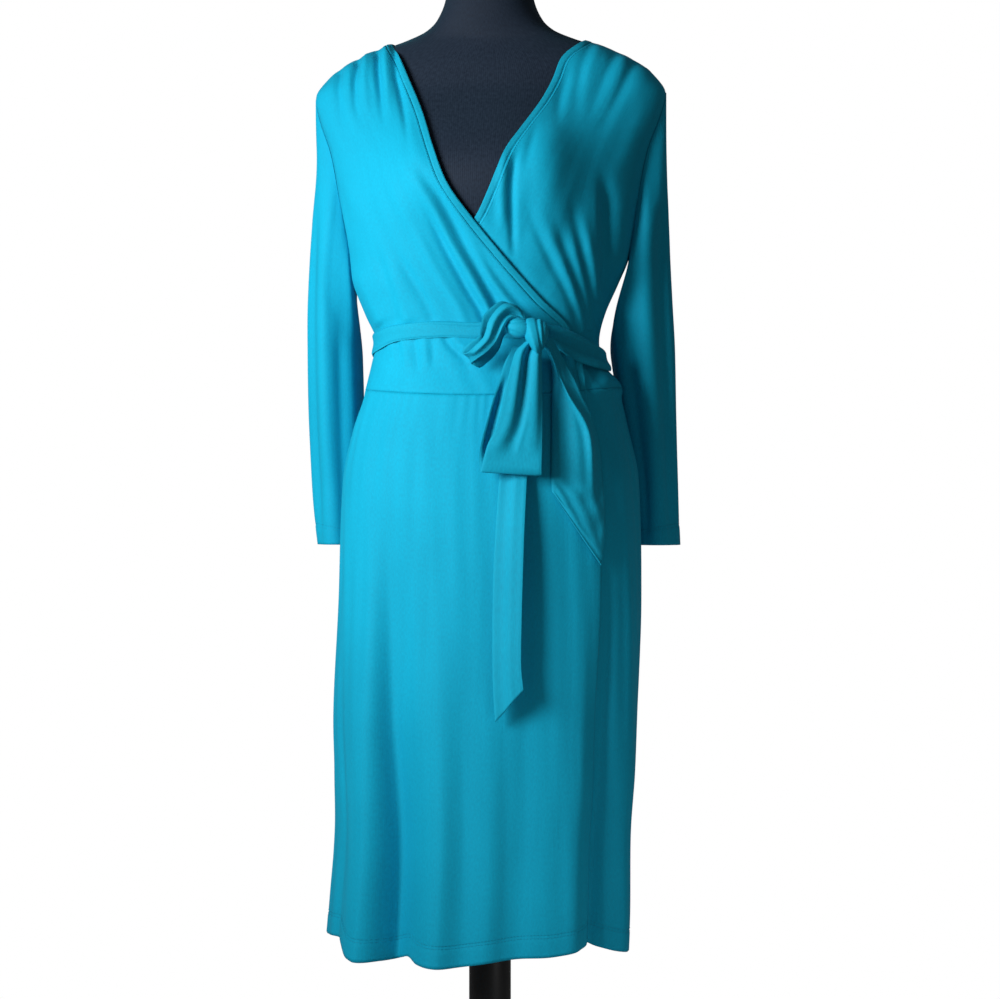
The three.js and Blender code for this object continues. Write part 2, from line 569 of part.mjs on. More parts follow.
function sleeveCreases(turn, z) {
  let out = 0;
  for (const crease of SLEEVE_CREASES) {
    const along = ease(crease.to - 60, crease.to + 60, z) * ease(crease.from, crease.from - 80, z);
    out += crease.out * along * bell((turn - crease.at) / crease.wide);
  }
  return out;
}
function addSleeve(name, hand, table) {
  const point = (s, t, face) => {
    const z = mix(armhole(360 * s).z, CUFF, t);
    return sleevePoint(hand, table, s, t, sleeveCreases(360 * s, z) + (face - 0.5) * CLOTH);
  };
  add(name, wall(22, even(13), point, true), TEAL);
}
addSleeve("sleeve_left", -1, SLEEVE_LEFT);
addSleeve("sleeve_right", 1, SLEEVE_RIGHT);

// Skirt panels: whole steps of angle, so that the two fronts have the same columns where they overlap
const SKIRT_ROWS = [0, 0.07, 0.15, 0.26, 0.38, 0.5, 0.63, 0.76, 0.88, 1];
function skirtPoint(angle, t, out) {
  const hem = HEM + HEM_SLOPE * surface(angle, HEM).x;
  const z = mix(WAIST_SEAM - SEAM_HALF, hem, t);
  return place(angle, z, skirtFolds(angle, z) + out);
}
function addSkirt(name, from, to, lap, columns) {
  const point = (s, t, face) => {
    const angle = mix(from, to, s);
    return skirtPoint(angle, t, lap(angle) + face * CLOTH);
  };
  add(name, wall(columns, SKIRT_ROWS, point), TEAL);
}
addSkirt("skirt_upper", -90 + SEAM_ANGLE, SKIRT_EDGE, (angle) => LAP * ease(-90, -58, angle), 30);
addSkirt("skirt_under", SKIRT_LAP, 90 - SEAM_ANGLE, () => 0, 29);
addSkirt("skirt_back", 90 + SEAM_ANGLE, 270 - SEAM_ANGLE, () => 0, 32);

// The sash round the waist, outside both fronts
function beltPoint(s, t, face) {
  const angle = mix(-180, 180, s);
  const row = beltAt(angle);
  const z = row.z + row.half * mix(-1, 1, t);
  const lap = LAP * ease(-90, -70, angle) * ease(95, 78, angle);
  const round = face * BELT_THICK * (t === 0.5 ? 1 : 0.6);
  return place(angle, z, CLOTH + BELT_GAP + lap + round);
}
add("sash_belt", wall(44, even(2), beltPoint, true), TEAL);

// A ribbon of doubled jersey, ruled between its two edges. One that is draped stands off the dress by its y
function ribbon(table, columns, rows, thick, draped = false) {
  const line = withLength(table, ["xl", "yl", "zl", "xr", "yr", "zr"]);
  const middle = (s, t) => {
    const row = readTable(line, "run", clamp(t));
    const [x, y, z] = ["x", "y", "z"].map((axis) => mix(row[axis + "l"], row[axis + "r"], s));
    return new THREE.Vector3(x, draped ? surface(angleAt(x, z), z).y - y : y, z);
  };
  return wall(columns, even(rows), (s, t, face) => {
    const across = middle(s + 0.02, t).sub(middle(s - 0.02, t));
    const along = middle(s, t + 0.01).sub(middle(s, t - 0.01));
    const normal = across.cross(along).normalize();
    const edge = Math.abs(s - 0.5) > 0.49 ? 0.6 : 1;
    return middle(s, t).addScaledVector(normal, (face - 0.5) * thick * edge);
  });
}
add("sash_loop_side", ribbon(SIDE_LOOP, 4, 26, 2), TEAL);
add("sash_loop_down", ribbon(HANGING_LOOP, 4, 26, 2), TEAL);
add("sash_tail_long", ribbon(LONG_TAIL, 3, 12, 2.4), TEAL);
add("sash_tail_wide", ribbon(WIDE_TAIL, 5, 12, 2, true), TEAL);
const knot = new THREE.SphereGeometry(1, 16, 8);
knot.deleteAttribute("uv");
knot.deleteAttribute("normal");
knot.scale(KNOT.wide, KNOT.deep, KNOT.tall);
const knotMesh = add("sash_knot", knot, TEAL);
knotMesh.position.set(KNOT.x, KNOT.y, KNOT.z);
knotMesh.rotation.y = KNOT.lean * degrees;

// The dress form: the same sections, drawn in by the room they state
const FORM_ROWS = [
  770, 850, 905, 945, 980, 1010, 1040, 1075, 1115, 1150, 1180, 1213, 1245, 1275, 1297, 1309, 1320, 1331, 1341, 1350,
  1358, 1365, 1372, 1381, 1394, 1418, 1452,
];
function formBody() {
  const around = 36;
  const positions = [];
  for (const z of FORM_ROWS) {
    const section = readTable(SECTIONS, "z", z);
    for (let i = 0; i < around; i++) {
      const angle = (360 * i) / around;
      const inset = section.ease + section.side * Math.sin(angle * degrees) ** 6;
      positions.push(...place(angle, z, -inset).setZ(z).toArray());
    }
  }
  const top = FORM_ROWS.length - 1;
  positions.push(0, 0, FORM_BOTTOM, 0, 0, FORM_TOP);
  const [bottomPole, topPole] = [around * (top + 1), around * (top + 1) + 1];
  const index = [];
  for (let i = 0; i < around; i++) {
    const next = (i + 1) % around;
    for (let j = 0; j < top; j++) {
      const [a, b] = [j * around + i, j * around + next];
      index.push(a, b, b + around, a, b + around, a + around);
    }
    index.push(bottomPole, next, i, topPole, top * around + i, top * around + next);
  }
  return facingOut(positions, index);
}
add("form_body", formBody(), BLACK_JERSEY);

// A turned piece from its outline, which starts and ends on the axis
function turned(name, outline, z, finish) {
  const points = outline.map(([radius, height]) => new THREE.Vector2(radius, height));
  const geometry = new THREE.LatheGeometry(points, 32);
  geometry.rotateX(Math.PI / 2);
  const mesh = add(name, geometry, finish);
  mesh.position.set(0, 0, z);
  return mesh;
}
const CAP = { radius: 46, thick: 14, edge: 4 };
const cap = turned(
  "form_cap",
  [
    [0, 0],
    [CAP.radius, 0],
    [CAP.radius + CAP.edge, CAP.edge],
    [CAP.radius + CAP.edge, CAP.thick - CAP.edge],
    [CAP.radius, CAP.thick],
    [0, CAP.thick],
  ],
  FORM_TOP + SEAM_HALF * 2,
  BLACK_METAL,
);
cap.position.y = -6;
turned(
  "stand_base",
  [
    [0, 0],
    [BASE.radius, 0],
    [BASE.radius, BASE.thick * 0.6],
    [BASE.radius * 0.95, BASE.thick],
    [BASE.socket * 1.4, BASE.thick + 4],
    [BASE.socket, BASE.thick + BASE.rise],
    [POLE_RADIUS + 5, BASE.thick + BASE.rise],
    [POLE_RADIUS + 0.3, BASE.thick + BASE.rise - 3],
    [POLE_RADIUS + 0.3, BASE.thick],
    [0, BASE.thick],
  ],
  0,
  BLACK_METAL,
);
const poleFrom = BASE.thick + SEAM_HALF * 2;
const poleTo = FORM_BOTTOM - SEAM_HALF * 2;
turned(
  "stand_pole",
  [
    [0, 0],
    [POLE_RADIUS, 0],
    [POLE_RADIUS, poleTo - poleFrom],
    [0, poleTo - poleFrom],
  ],
  poleFrom,
  BLACK_METAL,
);

export default group;
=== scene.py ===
"""Looks of a jersey wrap dress with a sash tied in a bow, worn by a limbless dress form on a stand.

Shapes are surfaces of two parameters on numpy grids, worked out in millimetres and set down in metres.
The front of the dress faces -Y, and left and right are the viewer's. The whole dress follows one surface,
dress(angle, z), whose angle runs from the front centre towards +X.
"""

import bpy
import numpy as np
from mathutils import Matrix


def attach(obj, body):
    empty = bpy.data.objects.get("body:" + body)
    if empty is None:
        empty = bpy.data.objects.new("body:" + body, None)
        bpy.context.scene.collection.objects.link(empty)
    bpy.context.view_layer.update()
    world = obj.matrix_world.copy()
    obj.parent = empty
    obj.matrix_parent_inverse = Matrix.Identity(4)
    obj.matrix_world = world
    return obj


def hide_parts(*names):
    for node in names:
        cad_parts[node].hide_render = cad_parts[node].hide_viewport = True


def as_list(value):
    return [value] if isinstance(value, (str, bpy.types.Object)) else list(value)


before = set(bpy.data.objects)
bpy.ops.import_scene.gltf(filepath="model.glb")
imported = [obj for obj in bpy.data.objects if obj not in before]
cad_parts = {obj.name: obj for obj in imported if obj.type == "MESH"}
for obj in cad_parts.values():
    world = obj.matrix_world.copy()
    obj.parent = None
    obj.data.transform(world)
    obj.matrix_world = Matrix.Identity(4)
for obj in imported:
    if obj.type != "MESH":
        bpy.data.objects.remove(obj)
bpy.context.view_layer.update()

# Sizes, in millimetres
CLOTH = 1.2  # thickness of the jersey
OUTER = 1.5  # how far its outer face stands off the dress surface
LAP = 2.6  # how far the upper wrap front lies outside the under one
BAND_WIDE, BAND_THICK, BAND_OUT = 8.0, 2.1, 0.9  # neck band, and how far its middle stands off
WAIST_SEAM = 964.0
HEM = 340.0
UNDERARM = 1119.0
SHOULDER_POINT = 1307.0
NECK_POINT = 1366.0
BACK_NECK = 1374.0
CUFF = 790.0
SLEEVE_LONG = 430.0
HEM_TURNED, CUFF_TURNED = 23.0, 19.0  # where the turned-up edges are sewn, above hem and cuff
BUST_HEIGHT, BUST_FLAT, BUST_WIDE, BUST_TALL, BUST_OUT = 1213.0, 62.0, 50.0, 62.0, 31.0
FORM_TOP = 1452.0
CORNER = 1.2  # rounding of the turned pieces
THREAD, THREAD_OUT = 0.24, 1.62  # a thread's radius, and how far its middle stands off the dress surface
# Angles in degrees
ARMHOLE_FRONT, ARMHOLE_BACK = 12.0, 26.0  # how far the armhole cuts into the front and the back
SKIRT_EDGE, SKIRT_LAP = 47.5, -45.0  # free edges of the upper and the under skirt front
EDGE_DRIFT = 4.5  # how far the upper one's swings out towards the hem
# Shares
SIDE_SHARE = 0.39  # of a bodice side edge that is side seam
SHOULDER_SHARE = 5 / 24  # of the back's top edge that is one shoulder seam
SQUARE = 0.035  # how much fuller than an ellipse the sections are


def table(columns, text):
    """Columns of numbers by name, from a text with commas between its rows."""
    return dict(zip(columns.split(), np.array([row.split() for row in text.split(",")], float).T))


def lines(text):
    """Creases from a text. A row is width, height, fade at start and end, and x and z of its points."""
    rows = [np.array(row.split(), float) for row in text.strip().split("\n")]
    return [(*row[:4], row[4:].reshape(-1, 2)) for row in rows]


def rows_of(tab):
    """The rows of a table, each with its numbers by column name."""
    return [dict(zip(tab, row)) for row in zip(*tab.values())]


def read(tab, key, value):
    """A smooth curve through a table: cubic pieces, sloped at each row like the chord of its neighbours."""
    keys = tab[key]
    value = np.clip(np.asarray(value, float), keys[0], keys[-1])
    i = np.clip(np.searchsorted(keys, value) - 1, 0, len(keys) - 2)
    before, after = np.maximum(i - 1, 0), np.minimum(i + 2, len(keys) - 1)
    span = keys[i + 1] - keys[i]
    u = (value - keys[i]) / span
    row = {}
    for name, c in tab.items():
        slope_a = (c[i + 1] - c[before]) / (keys[i + 1] - keys[before]) * span
        slope_b = (c[after] - c[i]) / (keys[after] - keys[i]) * span
        row[name] = (c[i] * (1 + 2 * u) + slope_a * u) * (1 - u) ** 2
        row[name] += (c[i + 1] * (3 - 2 * u) - slope_b * (1 - u)) * u * u
    return row


def with_run(tab, axes):
    """The table with a column of the distance run along its points, from 0 to 1."""
    steps = np.sqrt(sum(np.diff(tab[axis]) ** 2 for axis in axes))
    run = np.concatenate([[0], np.cumsum(steps)])
    return {**tab, "run": run / run[-1]}


def mix(a, b, share):
    """The value that lies this share of the way from a to b."""
    return a + (b - a) * share


def ease(start, end, value):
    """0 before start, 1 after end, and a smooth S between them."""
    share = np.clip((np.asarray(value, float) - start) / (end - start), 0, 1)
    return share * share * (3 - 2 * share)


def bell(v):
    """A round hump of height 1 over v = 0."""
    return np.exp(-np.asarray(v) ** 2)


def wrapped(angle):
    """The same angle between -180 and 180."""
    return (np.asarray(angle) + 180) % 360 - 180


def rounded(share, power):
    """1 over most of a strip's width, with a round fall to 0 at both edges."""
    return np.sqrt(np.clip(1 - (2 * share - 1) ** power, 0, 1))


def jersey_out(face):
    """How far the jersey's inner face (0) or outer face (1) stands off the dress surface."""
    return face * CLOTH - CLOTH + OUTER


def band_out(across, face):
    """How far the neck band stands off: padded, with round edges and a groove beside its seam."""
    return BAND_OUT + (face - 0.5) * BAND_THICK * rounded(across, 8) - 0.5 * bell((across - 0.1) * 9) * face


SECTIONS = table("z wide front back mid ease side", """
330 168.5 135 147 -15.5 8 0, 376 167.5 133 146 -12.5 8 0, 463 165.5 129 144 -8.5 8 0,
530 169 127 142 -6.5 8 0, 600 171.5 126 141 -5.5 8 0, 728 172 121 137 0 7 0, 866 168 116 130 1 6 0,
923 156 111 120 1 6 0, 964 144 105 108 3 6 0, 1000 131 98 96 -2 5 0, 1025 126 95 90 -2 4 0,
1056 136 97 93 -5 5 1, 1090 150 101 99 -4 5 2, 1119 158 104 105 0 4 3, 1184 172 100 112 0 3.5 4,
1240 183 88 112 0 3.2 4, 1280 196 74 106 0 2.6 2, 1307 200 63 92 0 3.6 0.5, 1322 191 59 85 0 4 0,
1337 175 55 79 0 4.2 0, 1350 152 51 74 0 4.7 0, 1359 131 49 71 0 5.6 0, 1368 104 48 68 0 6.2 0,
1378 80 49 65 0 5 0, 1392 63 50 59 0 2 0, 1418 51 52 48 0 0.6 0, 1460 48 55 41 0 0.6 0
""")


def dress(angle, z):
    """The dress surface: a full ellipse at each height, and two rounded bells on its front for the bust."""
    angle, z = np.broadcast_arrays(np.asarray(angle, float), np.asarray(z, float))
    a = np.radians(angle)
    row = read(SECTIONS, "z", z)
    depth = np.where(np.cos(a) > 0, row["front"], row["back"])
    full = 1 + SQUARE * np.sin(2 * a) ** 2
    x = row["mid"] + row["wide"] * np.sin(a) * full
    side = np.maximum(0, np.abs(x) - BUST_FLAT) / BUST_WIDE
    bust = BUST_OUT * bell(side) * bell((z - BUST_HEIGHT) / BUST_TALL) * ease(0, 0.5, np.cos(a))
    return np.stack([x, -depth * np.cos(a) * full - bust, z], -1)


def unit(v):
    """Vectors of length 1 in the same directions."""
    return v / np.linalg.norm(v, axis=-1, keepdims=True)


def place(angle, z, out):
    """Points of the dress surface, moved out along its normal, the cross product of its two tangents."""
    along = dress(angle + 0.5, z) - dress(angle - 0.5, z)
    up = dress(angle, z + 0.5) - dress(angle, z - 0.5)
    return dress(angle, z) + unit(np.cross(along, up)) * np.asarray(out)[..., None]


def angle_at(x, z):
    """The angle on the front at which the section at height z has the sideways place x, by halving."""
    row = read(SECTIONS, "z", z)
    goal = np.minimum(1, np.abs(x - row["mid"]) / row["wide"])
    low, high = np.zeros_like(goal), np.full_like(goal, np.pi / 2)
    for _ in range(40):
        middle = (low + high) / 2
        less = np.sin(middle) * (1 + SQUARE * np.sin(2 * middle) ** 2) < goal
        low, high = np.where(less, middle, low), np.where(less, high, middle)
    return np.degrees(np.sign(x - row["mid"]) * low)


def creases(tab, x, z):
    """Soft troughs and ridges seen from the front or back: round humps across the distance to each line. They
    fade in over the first share of the line's length and out over the last."""
    total = np.zeros_like(x)
    for wide, out, fade_in, fade_out, line in tab:
        step = np.diff(line, axis=0)
        long = np.linalg.norm(step, axis=1)
        run = np.concatenate([[0], np.cumsum(long)])
        best, where = np.full_like(x, 1e9), np.zeros_like(x)
        for (x0, z0), (dx, dz), length, before in zip(line, step, long, run):
            share = np.clip(((x - x0) * dx + (z - z0) * dz) / length**2, 0, 1)
            away = np.hypot(x - x0 - share * dx, z - z0 - share * dz)
            where = np.where(away < best, (before + share * length) / run[-1], where)
            best = np.minimum(best, away)
        total += out * bell(best / wide) * ease(0, fade_in, where) * ease(1, 1 - fade_out, where)
    return total


def ripples(u, v, out, wide=16.0, tall=90.0):
    """Small uneven waves of worn jersey: twelve sine waves of random slant and phase, long along v."""
    rng = np.random.default_rng(7)
    total = np.zeros(np.broadcast(u, v).shape)
    for _ in range(12):
        across, along, phase = rng.uniform(0.6, 1.6), rng.uniform(-1.5, 1.5), rng.uniform(0, 2 * np.pi)
        total += np.sin(2 * np.pi * (across * u / wide + along * v / tall) / 2 + phase)
    return out * total / 6


def add(name, data):
    """An object of this data, in the scene."""
    thing = bpy.data.objects.new(name, data)
    bpy.context.scene.collection.objects.link(thing)
    return thing


def mesh_piece(name, points, faces, cloth_uv=None):
    """A smooth mesh piece from points in millimetres, with the cloth's own run in metres as its UV map."""
    data = bpy.data.meshes.new(name)
    data.from_pydata(points.reshape(-1, 3) * 0.001, [], faces)
    if cloth_uv is not None:
        layer = data.uv_layers.new(name="cloth")
        corner = np.empty(len(data.loops), np.int32)
        data.loops.foreach_get("vertex_index", corner)
        layer.data.foreach_set("uv", cloth_uv.reshape(-1, 2)[corner].astype(np.float32).ravel())
    data.shade_smooth()
    data.validate()
    return add(name, data)


def capped(name, points, cloth_uv=None):
    """A closed piece from rings of points, one row each, with flat ends."""
    rows, across = points.shape[:2]
    ring = np.arange(across)
    caps = [tuple(ring[::-1]), tuple(ring + across * (rows - 1))]
    return mesh_piece(name, points, [tuple(f) for f in grid_faces(across, rows - 1, True)] + caps, cloth_uv)


def volume(points, faces):
    """Six times the volume that the faces enclose, from the triple products of their corners."""
    a, b, c, d = (points[faces[:, k]] for k in range(4))
    return np.einsum("ij,ij->", a, np.cross(b, c)) + np.einsum("ij,ij->", a, np.cross(c, d))


def grid_faces(columns, rows, ring):
    """Corner numbers of a grid's quads. A ring's last column joins its first."""
    across = columns if ring else columns + 1
    i, j = np.meshgrid(np.arange(columns), np.arange(rows))
    number = lambda i, j: j * across + i % across
    corners = [number(i, j), number(i + 1, j), number(i + 1, j + 1), number(i, j + 1)]
    return np.stack(corners, -1).reshape(-1, 4)


def wall(name, columns, rows, point, ring=False, size=(0.3, 0.4)):
    """A closed sheet: an outer and an inner face on one grid, joined round the rims by a rounded edge.
    point(s, t, face) has face 0 inside and 1 outside, size is the sheet's cut width and length in metres."""
    across = columns if ring else columns + 1
    s, t = np.meshgrid(np.arange(across) / columns, np.linspace(0, 1, rows + 1))
    outer, inner = point(s, t, 1.0), point(s, t, 0.0)
    points = np.concatenate([outer.reshape(-1, 3), inner.reshape(-1, 3)])
    half = outer.shape[0] * across
    front = grid_faces(columns, rows, ring)
    back = front[:, ::-1] + half
    number = np.arange(half).reshape(rows + 1, across)
    rims = [(number[0], 1), (number[-1], -1)] if ring else [
        (np.concatenate([number[0, :-1], number[:-1, -1], number[-1, :0:-1], number[:0:-1, 0]]), 1)
    ]
    strips = []
    for rim, way in rims:
        following = np.roll(rim, -1)
        strip = np.stack([following, rim, rim + half, following + half], -1)
        strips.append(strip[:, ::way])
    faces = np.concatenate([front, back, *strips])
    if volume(points, faces) < 0:
        faces = faces[:, ::-1]
    cloth_uv = np.stack([s * size[0], t * size[1]], -1).reshape(-1, 2)
    return mesh_piece(name, points, faces, np.concatenate([cloth_uv, cloth_uv]))


# Free edges of the two wrap fronts, from the waist seam up to the neck points
UPPER_EDGE = table("x z", """
112 964, 105 1004, 94 1037, 66 1067, 40 1097, 14 1128, -7 1155, -33 1192, -50 1232, -66 1275,
-84 1315, -97 1343, -109 1362.6, -110 1364.4, -112 1366
""")
UNDER_EDGE = table("x z", """
-108 964, -104 1004, -94 1037, -70 1075, -40 1110, -4 1155, 10 1181, 20 1204, 31 1231, 46 1256,
65 1288, 77 1315, 87 1342, 109 1362.6, 110 1364.4, 112 1366
""")
BELT = table("angle z half", """
-180 1014 13, -90 1019 14, -63 1023 12.5, -45 1030 10, -22 1032.5 9.5, 0 1031 9, 22 1031 10,
35 1026 13, 48 1013 18, 60 1005 17, 75 999 14, 90 1000 12, 180 1014 13
""")


def armhole(turn):
    """Angle and height of the armhole: turn 0 at the shoulder point, 90 at the front, 180 at the underarm."""
    t = np.radians(turn)
    cut = np.where(np.sin(t) > 0, ARMHOLE_FRONT, ARMHOLE_BACK)
    middle, half = (UNDERARM + SHOULDER_POINT) / 2, (SHOULDER_POINT - UNDERARM) / 2
    return 90 - cut * np.sin(t), middle + half * np.cos(t)


def side_edge(t, facing):
    """Side seam and armhole as one edge, from the waist seam to the shoulder point."""
    turn = 180 * (1 - (t - SIDE_SHARE) / (1 - SIDE_SHARE))
    angle, z = armhole(facing * np.minimum(turn, 180))
    low = t <= SIDE_SHARE
    return np.where(low, 90, angle), np.where(low, mix(WAIST_SEAM, UNDERARM, t / SIDE_SHARE), z)


def seam_lift(angle):
    """How far the waist seam lies above its height at the sides: it dips towards the middle of the front."""
    return 4 - 10 * np.maximum(0, np.cos(np.radians(angle))) ** 2


def sunk_to_seam(angle, z):
    """Heights on the bodice, drawn towards the dipping waist seam below the sash."""
    return z + seam_lift(angle) * ease(1010, WAIST_SEAM, z)


def overhang(angle):
    """The bodice blouses over the waist seam at the right, and a little at the left and the back."""
    turn = wrapped(angle)
    return 1.2 + 4.6 * ease(30, 68, turn) * ease(150, 110, turn)


def front_at(hand, edge, s, t):
    """A wrap front as straight rows from side edge to free edge. hand is -1 for the one from the left."""
    angle, z = side_edge(t, 1)
    free = read(with_run(edge, "xz"), "run", t)
    free_angle = np.clip(angle_at(free["x"], free["z"]), -90, 90)
    angle = mix(hand * angle, free_angle, s)
    return angle, sunk_to_seam(angle, mix(z, free["z"], s))


def blouse(angle, z):
    """The overhang as a round roll just above the waist seam."""
    return overhang(angle) * bell((z - WAIST_SEAM - seam_lift(angle) - 4) / 13)


def band_start(hand, edge, t):
    """Share of a row at which the neck band starts, so that it is BAND_WIDE wide square to the free edge."""
    t = np.asarray(t, float)
    low, high = np.maximum(0, t - 0.02), np.minimum(1, t + 0.02)
    at = lambda s, r: dress(*front_at(hand, edge, np.full_like(r, s), r))
    row = (at(1, t) - at(0.95, t)) / 0.05
    return 1 - BAND_WIDE / np.linalg.norm(np.cross(row, unit(at(1, high) - at(1, low))), axis=-1)


def belt_at(angle):
    """The sash round the waist at that angle."""
    return read(BELT, "angle", wrapped(angle))


# Creases: width, height, fade at start and end, then sideways place and height of each point of the line
# Gathers of the shoulder seams, which run down the front and the back alike
SHOULDER_GATHERS = lines("""
4 -5.4 0.1 0.6  -150 1372  -150 1318  -147 1290  -137 1258
5 3 0.1 0.6  -140 1372  -137 1318  -133 1290  -128 1262
4 -5.6 0.1 0.6  -130 1376  -121 1320  -116 1290  -108 1250
5 3.2 0.1 0.6  -119 1378  -111 1320  -106 1290  -97 1250
4 -4.8 0.1 0.6  -110 1378  -100 1320  -87 1273  -77 1231  -73 1208
5 -4 0.1 0.6  -174 1360  -169 1310  -164 1282  -158 1250
5.5 -1.4 0.1 0.6  122 1376  108 1327  104 1300  104 1262
6 1.2 0.1 0.6  132 1374  118 1325  113 1296  112 1260
6 -1.6 0.1 0.6  152 1370  141 1333  134 1317  125 1290  115 1252
7 1.1 0.1 0.6  162 1366  151 1322  144 1300  134 1262
6 -1.8 0.1 0.6  174 1360  158 1316  149 1294  139 1272  124 1240
8 1 0.1 0.6  184 1350  170 1300  158 1268
""")
# Small pleats that the sash draws in, above and below it
WAIST_PLEATS = lines("""
4 -2 0.15 0.5  -98 1026  -92 1006  -89 986
4.5 1.6 0.15 0.5  -90 1026  -84 1006  -80 982
3.5 -2.6 0.15 0.5  -76 1026  -72 1004  -69 978
4 1.5 0.15 0.5  -64 1028  -60 1004  -58 984
4 -1.3 0.15 0.5  -54 1028  -53 1004  -52 980
3.5 -2.6 0.15 0.5  -44 1028  -33 1012  -20 1001  -8 984
5 1.8 0.15 0.5  -34 1028  -22 1014  -6 1002  6 988
5 -2.6 0.15 0.3  86 1014  96 992  104 966
5 2.4 0.15 0.3  96 1012  108 990  117 966
4.5 -2.6 0.15 0.3  106 1008  119 988  128 966
4.5 2.2 0.15 0.3  116 1004  128 986  137 966
""")
UPPER_CREASES = SHOULDER_GATHERS + WAIST_PLEATS + lines("""
6 -4.5 0.35 0.03  -76 1226  -60 1200  -43 1178  -28 1150  -15 1122  0 1094  16 1064  28 1036
6 3.6 0.35 0.03  -82 1214  -62 1188  -45 1160  -30 1126  -10 1092  5 1062  16 1034
5 -4.6 0.3 0.03  -62 1172  -45 1136  -30 1106  -14 1076  0 1054  8 1034
6 2.6 0.3 0.03  -76 1150  -58 1118  -42 1088  -24 1058  -14 1034
6 -2.6 0.35 0.1  -100 1128  -82 1098  -62 1064  -50 1036
7 -2 0.35 0.1  -122 1126  -104 1084  -94 1038
9 2.4 0.35 0.1  -112 1112  -92 1072  -80 1038
5 -2.2 0.3 0.2  -6 1128  16 1096  33 1072  52 1050  76 1030
5 1.8 0.3 0.2  -4 1112  14 1084  30 1064  48 1044  66 1030
9 3 0.3 0.1  -144 1110  -126 1066  -114 1040
""")
UNDER_CREASES = SHOULDER_GATHERS + WAIST_PLEATS + lines("""
4 -4.2 0.3 0.3  48 1236  41 1216  38 1193  37 1166  37 1128  38 1100
5.5 3.6 0.3 0.3  33 1232  29 1204  26 1180  26 1134
20 4 0.4 0.4  92 1290  84 1250  80 1210  78 1160  84 1110
6 -2.2 0.4 0.5  98 1340  91 1312  87 1293  85 1269  84 1240
5 -1.6 0.4 0.5  67 1268  60 1247  55 1222  52 1198
5 -2.6 0.5 0.03  52 1184  56 1160  63 1140  72 1120  83 1098  93 1078  102 1054  108 1030
6 2.6 0.5 0.03  66 1180  70 1158  77 1136  87 1112  97 1088  105 1064  113 1030
5 -2.8 0.5 0.03  80 1166  86 1144  93 1122  100 1100  107 1078  113 1054  117 1028
5 2.2 0.5 0.03  96 1160  101 1138  107 1114  113 1088  118 1060  122 1028
5.5 -3.4 0.5 0.03  98 1190  103 1160  108 1134  113 1108  118 1082  122 1056  126 1028
5 2 0.5 0.1  112 1172  116 1144  121 1114  125 1088  128 1060
8 -8 0.3 0.25  134 1216  139 1180  140 1140  139 1100  134 1056
""")
BACK_CREASES = SHOULDER_GATHERS + lines("""
9 -3.5 0.3 0.1  -78 1180  -60 1110  -44 1048
9 3 0.3 0.1  -40 1190  -30 1110  -20 1048
9 -3.5 0.3 0.1  76 1170  58 1110  44 1048
10 2.5 0.3 0.1  20 1150  14 1100  8 1048
9 -2.5 0.3 0.1  2 1120  -4 1046
8 -2.5 0.1 0.3  -64 1000  -80 968
8 -2.5 0.1 0.3  18 1000  22 968
8 -2.5 0.1 0.3  70 1000  84 968
""")


def upper_point(s, t, extra):
    """The upper wrap front, which rises by the lap over the under one."""
    angle, z = front_at(-1, UPPER_EDGE, s, t)
    flat = dress(angle, z)
    lap = LAP * ease(0, 0.17, s) * ease(1, 0.88, t)
    soft = creases(UPPER_CREASES, flat[..., 0], z) + ripples(flat[..., 0] + 0.4 * z, z, 0.5)
    return place(angle, z, lap + soft * ease(0, 0.08, s) * ease(1, 0.98, t) + blouse(angle, z) + extra)


def under_point(s, t, extra):
    """The under wrap front, whose creases fade where the upper one covers it."""
    angle, z = front_at(1, UNDER_EDGE, s, t)
    flat = dress(angle, z)
    bare = ease(-4, 14, flat[..., 0] - read(UPPER_EDGE, "z", z)["x"])
    soft = creases(UNDER_CREASES, flat[..., 0], z) + ripples(flat[..., 0] - 0.4 * z, z, 0.5)
    covered = creases(UPPER_CREASES, flat[..., 0], z) - 2.0
    soft = mix(covered, soft, bare) * ease(0, 0.08, s) * ease(1, 0.98, t)
    return place(angle, z, soft + blouse(angle, z) + extra)


def front(name, hand, edge, point, columns, rows):
    """A wrap front up to its band, and the band as a padded strip from there to the free edge."""

    def panel(s, t, face):
        return point(s * band_start(hand, edge, t), t, jersey_out(face))

    def band(s, t, face):
        return point(mix(band_start(hand, edge, t) + 0.0006, 1, s), t, band_out(s, face))

    cloth = wall(name + "_front", columns, rows, panel, size=(0.26, 0.42))
    return cloth, wall(name + "_neck_band", 14, 320, band, size=(0.008, 0.5))


def turned_edge(above, sewn):
    """A turned-up edge: thicker below the height at which it is sewn, with a groove along the stitches."""
    return 0.35 * ease(sewn + 1, sewn - 2, above) - 0.5 * bell((above - sewn) / 1.6)


def back_top(s, drop):
    """Top edge of the bodice back: shoulder seam, back neck, shoulder seam, the neck lowered by drop."""
    half = np.minimum(s, 1 - s)
    hand = np.where(s < 0.5, 1, -1)
    along = np.clip((half - SHOULDER_SHARE) / (0.5 - SHOULDER_SHARE), 0, 1)
    neck = mix(NECK_POINT, BACK_NECK, ease(0, 0.7, along)) - drop * mix(0.35, 1, ease(0, 0.5, along))
    z = mix(SHOULDER_POINT, neck, np.clip(half / SHOULDER_SHARE, 0, 1))
    return 180 - hand * (90 - 90 * along**1.25), z


